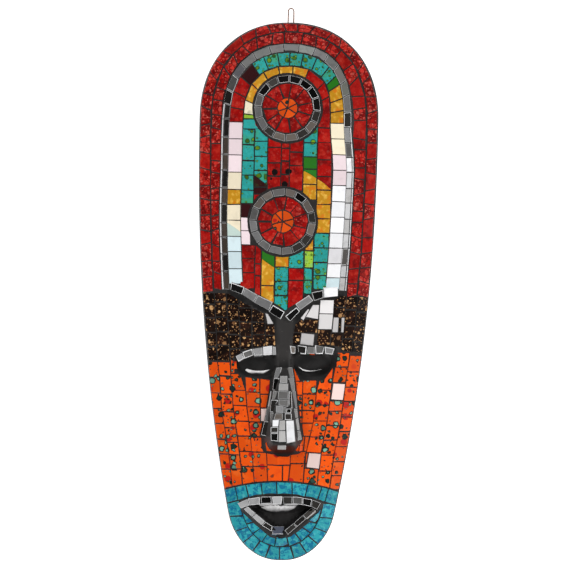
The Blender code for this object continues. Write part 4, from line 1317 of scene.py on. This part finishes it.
lay(
    "nose_tiles", "nose_mirrors", nose_mirrors, mirror_glass, 81, joint=0.35, arris=0.4,
    lean=0.10, level=1.5, proud=1.1,
)


# The cheeks. Orange glass with drops of teal in black rings, and rounder drops of red, in leaning columns
# that meet below the nose. Three panes among them are pale rose.
ROSE = (0.86, 0.66, 0.62)
chance = random.Random(91)
nose_left = trace("-8.7 320  -12.8 340  -15.8 360  -20.8 384")
nose_right = trace("8.7 320  11.8 342  15.3 365  18.8 386.5")
cheek_room = side_spots(-1, 436.2, 316.4)
cheek_room += trace("-50 316.4  -49.6 313.8  -44 314.2  -42.2 327.6  -36 329.6  -12.6 331.8")
cheek_room += nose_left[1:] + trace("-9 399.6  -5 402.4  5 402.4  9.5 400.2")
cheek_room += list(reversed(nose_right)) + trace("15.2 332  37 331.2  45.2 319.6  48.2 318.6")
cheek_room += trace("49.4 305.4  60.8 305.6  60.8 308") + side_spots(1, 308.2, 432.8)
cheek_room += [(x, 426 + 9 * (x / 54) ** 2 - 0.3) for x in (50, 40, 27, 14, 0, -14, -27, -40, -52)]
pale_cheeks = [
    trace("46 334  57.6 334.4  55.7 350.2  43.9 349.7"),
    trace("-21 358.4  -13.6 358.4  -15.4 371.4  -20.8 371"),
    trace("24.4 398.8  36.2 399.4  34.7 414.2  22.3 412.8"),
]
cheek_columns = [
    (trace("-74 310  -70 360  -62 400  -54 440"),
     trace("-62.5 316  -60 330  -57.5 360  -50.2 400  -45 440"),
     [315, 331, 345.5, 360, 374, 388.5, 402, 416, 440]),
    (trace("-62.5 316  -60 330  -57.5 360  -50.2 400  -45 440"),
     trace("-50 316  -49.2 330  -46.5 360  -39.8 400  -35.5 440"),
     [315, 329.5, 346.5, 362.5, 377.5, 391, 402.5, 415.5, 440]),
    (trace("-50 313  -49.2 330  -46.5 360  -39.8 400  -35.5 440"),
     trace("-43.5 313  -42.5 326.5  -36.2 328  -33.7 360  -28.2 400  -24.5 440"),
     [313, 327, 342.5, 356.5, 371, 384.8, 399.2, 413, 438]),
    (trace("-36.2 326  -33.7 360  -28.2 400  -24.5 440"),
     trace("-22.6 326  -21.2 360  -14.8 400  -12.2 440"),
     [326, 343.8, 357.6, 371.6, 385.2, 399.2, 412.6, 436]),
    (trace("-22.6 326  -21.2 360  -14.8 400  -12.2 440"),
     trace("-10 326  -11 384  -5.4 400  0.4 411  0.4 440"),
     [328, 345.6, 358.4, 371.4, 385.6, 398.6, 411, 436]),
    ([(-5.4, 400), (-5.4, 411)], [(7.6, 400), (7.6, 411)], [400, 411]),
    ([(0.4, 411), (0.4, 440)], [(7.2, 411), (5, 440)], [411, 430]),
    ([(7.5, 318), (7.5, 411)], trace("15.2 321  17.6 333  17.6 372  15.4 398"),
     [319, 332.8, 345.8, 360, 372, 385, 398]),
    (trace("7.5 398  7.5 411  5 440"), trace("22 398  20 412  19.4 440"),
     [398, 409.4, 430]),
    (trace("17.6 326  17.6 372  15.4 398"),
     trace("31.2 326  30 350  28.5 370  25 385  22.3 400  19.4 440"),
     [326, 344.6, 359.6, 371.6, 383.8]),
    ([(16.5, 383.8), (15.4, 398)], [(20.6, 383.8), (19, 398)], [383.8, 398]),
    ([(20.6, 383.8), (19, 398)], [(25.3, 383.8), (22.6, 398)], [383.8, 398]),
    (trace("36.5 318  31.2 330  30 350  28.5 370  25 385  21.6 400  19.4 440"),
     trace("46 318  45.2 330  43.2 350  41.2 370  38.2 385  35.6 400  31.8 440"),
     [318, 340.6, 354.6, 369.5, 384.2, 399, 413.6, 436]),
    (trace("49 304  47.6 318  45.2 330  43.2 350  41.2 370  38.2 385  35.6 400  31.8 440"),
     trace("61.6 304  59.5 320  58 330  56 350  52.5 380  48 400  43.8 440"),
     [304, 319, 333.8, 350.4, 360.2, 373.6, 387, 401, 416, 438]),
    (trace("61.6 304  59.5 320  58 330  56 350  52.5 380  48 400  43.8 440"),
     trace("76 304  70 360  62 400  54 440"),
     [306, 323.4, 337.5, 351, 365.5, 379, 393, 407, 420, 436]),
]
cheeks = [(loop, ROSE, 0, 0) for loop in pale_cheeks]
for left, right, cuts in cheek_columns:
    for loop in loosened(column(left, right, cuts), chance, 0.3):
        cheeks += [(part, ORANGE, 1, 0) for part in clipped(loop, cheek_room, pale_cheeks)]
lay("cheek_tiles", "cheek_field", cheeks, orange_glass, 93)


# The chin. Turquoise glass mottled with darker blue runs in one course over the mouth and two round it.
CHIN_BLUE = (0.028, 0.34, 0.39)


def mottled_turquoise(start, place, base, figure):
    """Turquoise paint with deep blue blots and a paler bloom."""
    bloom = start.noise(place, 260, 4).between(0.5, 0.72) * 0.5
    base = bloom.blend(base, (0.13, 0.50, 0.52))
    blots = start.noise(place, 230, 4).between(0.51, 0.58) * 0.85
    base = blots.blend(base, (0.005, 0.13, 0.27))
    bent = start.bent(place, 160, 0.003)
    for scale, least in ((170, 0.74), (320, 0.72)):
        off, chosen = start.drops(bent, scale, 0.18, 0.14)
        here = chosen.also("Green").between(least, least + 0.02)
        base = (off.between(0.08, 0.02) * here * 0.8).blend(base, (0.004, 0.10, 0.22))
        base = (off.between(0, -0.10) * here * 0.6).blend(base, (0.03, 0.33, 0.40))
    return base


def chin_spot(turn, inset):
    """A spot at an inset from the outline round the chin. turn is in degrees, 0 at the lowest point, up to
    90 to each side, then millimetres up the flank."""
    foot = LENGTH - CHIN
    if abs(turn) > 90:
        down = foot - abs(turn) + 90
        return (math.copysign(flank(down) - inset, turn), down)
    angle = math.radians(turn)
    across, low = math.sin(angle), math.cos(angle)
    power = CHIN_ROUNDNESS
    radius = 20
    for _ in range(12):
        half = flank(foot + low * radius)
        radius = ((abs(across) / half) ** power + (low / CHIN) ** power) ** (-1 / power)
    return (across * (radius - inset), foot + low * (radius - inset))


def over_mouth(x, lowered):
    return (x, 426 + 9 * (x / 54) ** 2 + lowered)


turquoise_glass = pane_glass("mottled_turquoise_glass", 1.36, 0.72, 1.12, mottled_turquoise)
chance = random.Random(101)
mouth_line = [(x, 438.4 + 7 * (x / 40) ** 2) for x in (-43, -27, -14, 0, 14, 27, 41)]
mouth_line += trace("33.9 454.4  25.3 462.2  16.8 469.8  8.6 477  0 479  -10 477.2  -19 470")
mouth_line += [(-28, 462.3), (-37.4, 454.4)]
head_joints = trace("-54.5 -53  -43.5 -40.5  -33.5 -30  -19.5 -17.5  -5 -4  9.5 10")
head_joints += trace("24.5 21.5  37.5 33.5  43.8 40.5  54.5 52.5")
chin_room = [chin_spot(turn, 0.2) for turn in np.linspace(-124, 124, 66)]
chin = []
for (top, foot), (next_top, next_foot) in zip(head_joints, head_joints[1:]):
    corners = ((top, 0.2), (next_top, 0.2), (next_foot, 13.8), (foot, 13.8))
    loop = [over_mouth(*corner) for corner in corners]
    for part in clipped(loop, chin_room, [mouth_line]):
        chin.append((part, CHIN_BLUE, 1, 0))
upper_course = [over_mouth(x, 13.9) for x in (56, 42, 27, 14, 0, -14, -27, -42, -56)]
upper_course += [(-60, 400), (60, 400)]
marks = [-99.5, -84, -66, -50, -35, -18, -1, 16.5, 33, 50, 67, 84, 99]
for first, last in zip(marks, marks[1:]):
    loop = [chin_spot(first, 0.2), chin_spot((first + last) / 2, 0), chin_spot(last, 0.2)]
    loop += [chin_spot(last + chance.uniform(-1, 1), 12.4), chin_spot(first + chance.uniform(-1, 1), 12.4)]
    for part in clipped(loop, None, [upper_course]):
        chin.append((part, CHIN_BLUE, 1, 0))
marks = [-92, -70, -52, -32, -10, 14, 36, 56, 74, 94]
for first, last in zip(marks, marks[1:]):
    loop = [chin_spot(first, 12.6), chin_spot(last, 12.6)]
    loop += [chin_spot(last + chance.uniform(-2, 2), 25.5), chin_spot(first + chance.uniform(-2, 2), 25.5)]
    for part in clipped(loop, None, [upper_course, mouth_line]):
        chin.append((part, CHIN_BLUE, 1, 0))
lay("chin_tiles", "chin_field", chin, turquoise_glass, 103)


# The lips. Eight small mirrors along the upper lip, and long narrow ones down both sides of the lower one.
# Their tones, a bluish one among them, are painted reflections, and their pale ground edges painted
# highlights.
upper_lip = [
    (trace("-40.8 447.3  -31.4 443  -29.6 448.8  -37.6 452"), SILVER, 0.7, 0.6),
    (trace("-31.2 442.6  -20.2 440.6  -19.8 447.6  -29.4 448.9"), SILVER, 1, 0.8),
    (trace("-19.4 440.4  -9.3 440  -9 446.5  -18.4 447"), BLACK_REFLECTION, 0.8, 1),
    (trace("-9 440  1 439.6  0 447.4  -7.8 446.9"), SILVER, 1, 0.5),
    (trace("1.4 439.8  9.9 439.8  9.8 446.7  2 447"), DARK_REFLECTION, 0.3, 1),
    (trace("10.2 439.6  19.6 440.3  19.5 447.2  10.7 446.6"), GREY_REFLECTION, 0.9, 1),
    (trace("19.8 440.8  28.4 442  27.4 448.8  19.7 447.3"), BLACK_REFLECTION, 0.9, 1),
    (trace("28.7 442.2  36.8 445.4  33.4 451.8  27.6 448.9"), DARK_REFLECTION, 0.45, 1),
]
lower_lip = [
    (trace("-34.9 452.6  -31.3 449.8  -23.4 456.4  -26.9 459.6"), SILVER, 0.6, 0.7),
    (trace("-26.8 459.7  -23.3 456.5  -14.6 463.4  -18 467"), SILVER, 0.6, 0.7),
    (trace("-17.8 467.1  -14.4 463.6  -7.7 467.6  -8.4 472.6"), DARK_REFLECTION, 0.9, 1),
    (trace("-7.6 467.6  3 467.6  3.3 474.8  -7.9 475"), (0.26, 0.29, 0.40), 0.5, 0.9),
    (trace("28 449.8  32.2 452.4  23.6 460.2  20 456.8"), DARK_REFLECTION, 0.45, 1),
    (trace("19.8 457  23.4 460.4  15 467.8  11.6 464.3"), DARK_REFLECTION, 0.45, 1),
    (trace("11.4 464.5  14.8 468  6.6 475.2  3.4 471.2"), DARK_REFLECTION, 0.45, 1),
]
for side, mirrors in (("upper", upper_lip), ("lower", lower_lip)):
    lay(
        f"{side}_lip_tiles", f"{side}_lip_mirrors", mirrors, mirror_glass, 111,
        joint=0.3, arris=0.4, lean=0.05, level=0.8, proud=1.3,
    )


# The hanging wire. One thin copper wire bent over the crown, through two holes, its ends turned out inside.
def drawn_copper():
    """Copper wire gone brown in patches, with fine draw marks."""
    material, start, place, shader = new_finish("copper", 0.3, metallic=1)
    dull = start.noise(place, 350, 4)
    put(shader, "Base Color", dull.between(0.4, 0.7).blend((0.62, 0.30, 0.17), (0.26, 0.12, 0.07)))
    put(shader, "Roughness", 0.22 + dull * 0.3)
    bumped(shader, start.noise(place, 2500), 0.00005, 0.4)
    return material


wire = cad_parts["hanging_wire"]
wire.data.materials.clear()
wire.data.materials.append(drawn_copper())


# The studio. The mask lies on a white floor under a wide soft sky, with the brightest part to its right.
floor_form = bmesh.new()
bmesh.ops.create_grid(floor_form, x_segments=1, y_segments=1, size=3)
floor = placed("floor", as_mesh(floor_form, "floor"))
white_floor, start, place, shader = new_finish("white_floor", 0.9)
put(shader, "Base Color", start.noise(place, 6).blend((0.86, 0.86, 0.86), (0.90, 0.90, 0.90)))
shader.inputs["Specular IOR Level"].default_value = 0
shader.inputs["Emission Color"].default_value = (1, 1, 1, 1)
shader.inputs["Emission Strength"].default_value = 0.8
floor.data.materials.append(white_floor)

world = bpy.data.worlds.new("studio")
bpy.context.scene.world = world
world.use_nodes = True
sky = Tint(world.node_tree)
way = sky.node("TexCoord", output="Generated")
# (direction, angle from it where a bright patch starts to fade, angle where it ends, its tone)
level = 0.27
for direction, near, far, tone in (
    ((0, 0, 1), 6, 30, 0.22), ((-1, 0.1, 0.35), 26, 44, 0.12), ((0.45, 0.55, 0.8), 8, 22, 0.12),
    ((0, 1, 0.7), 14, 30, 0.34), ((0, -1, 0.5), 12, 26, 0.42), ((1, -0.1, 0.12), 10, 18, 0.9),
):
    cosine = sky.vector("DOT_PRODUCT", way, tuple(Vector(direction).normalized()), output="Value")
    mask = cosine.between(math.cos(math.radians(far)), math.cos(math.radians(near)))
    level = (1 - mask) * level + mask * tone
background = world.node_tree.nodes["Background"]
world.node_tree.links.new(level.socket, background.inputs["Color"])
background.inputs["Strength"].default_value = 1


def softbox(name, place, size, power):
    """An area light that points at the mask and doesn't show in its mirrors."""
    light = bpy.data.lights.new(name, "AREA")
    light.shape = "DISK"
    light.size = size
    light.energy = power
    lamp = placed(name, light)
    lamp.location = place
    lamp.rotation_euler = (-Vector(place)).to_track_quat("-Z", "Y").to_euler()
    lamp.visible_glossy = False


softbox("key", (0.9, -0.8, 1.7), 0.9, 26)
softbox("fill", (-1, 0.9, 1.6), 1.2, 22)

camera = placed("camera", bpy.data.cameras.new("camera"))
camera.data.sensor_width = 36
camera.data.lens = 36 * 6 / 0.539
camera.location = (0.0041, -0.0056, 6.016)
camera.rotation_euler = (0, 0, math.radians(1.14))
bpy.context.scene.camera = camera
bpy.context.scene.view_settings.view_transform = "Standard"
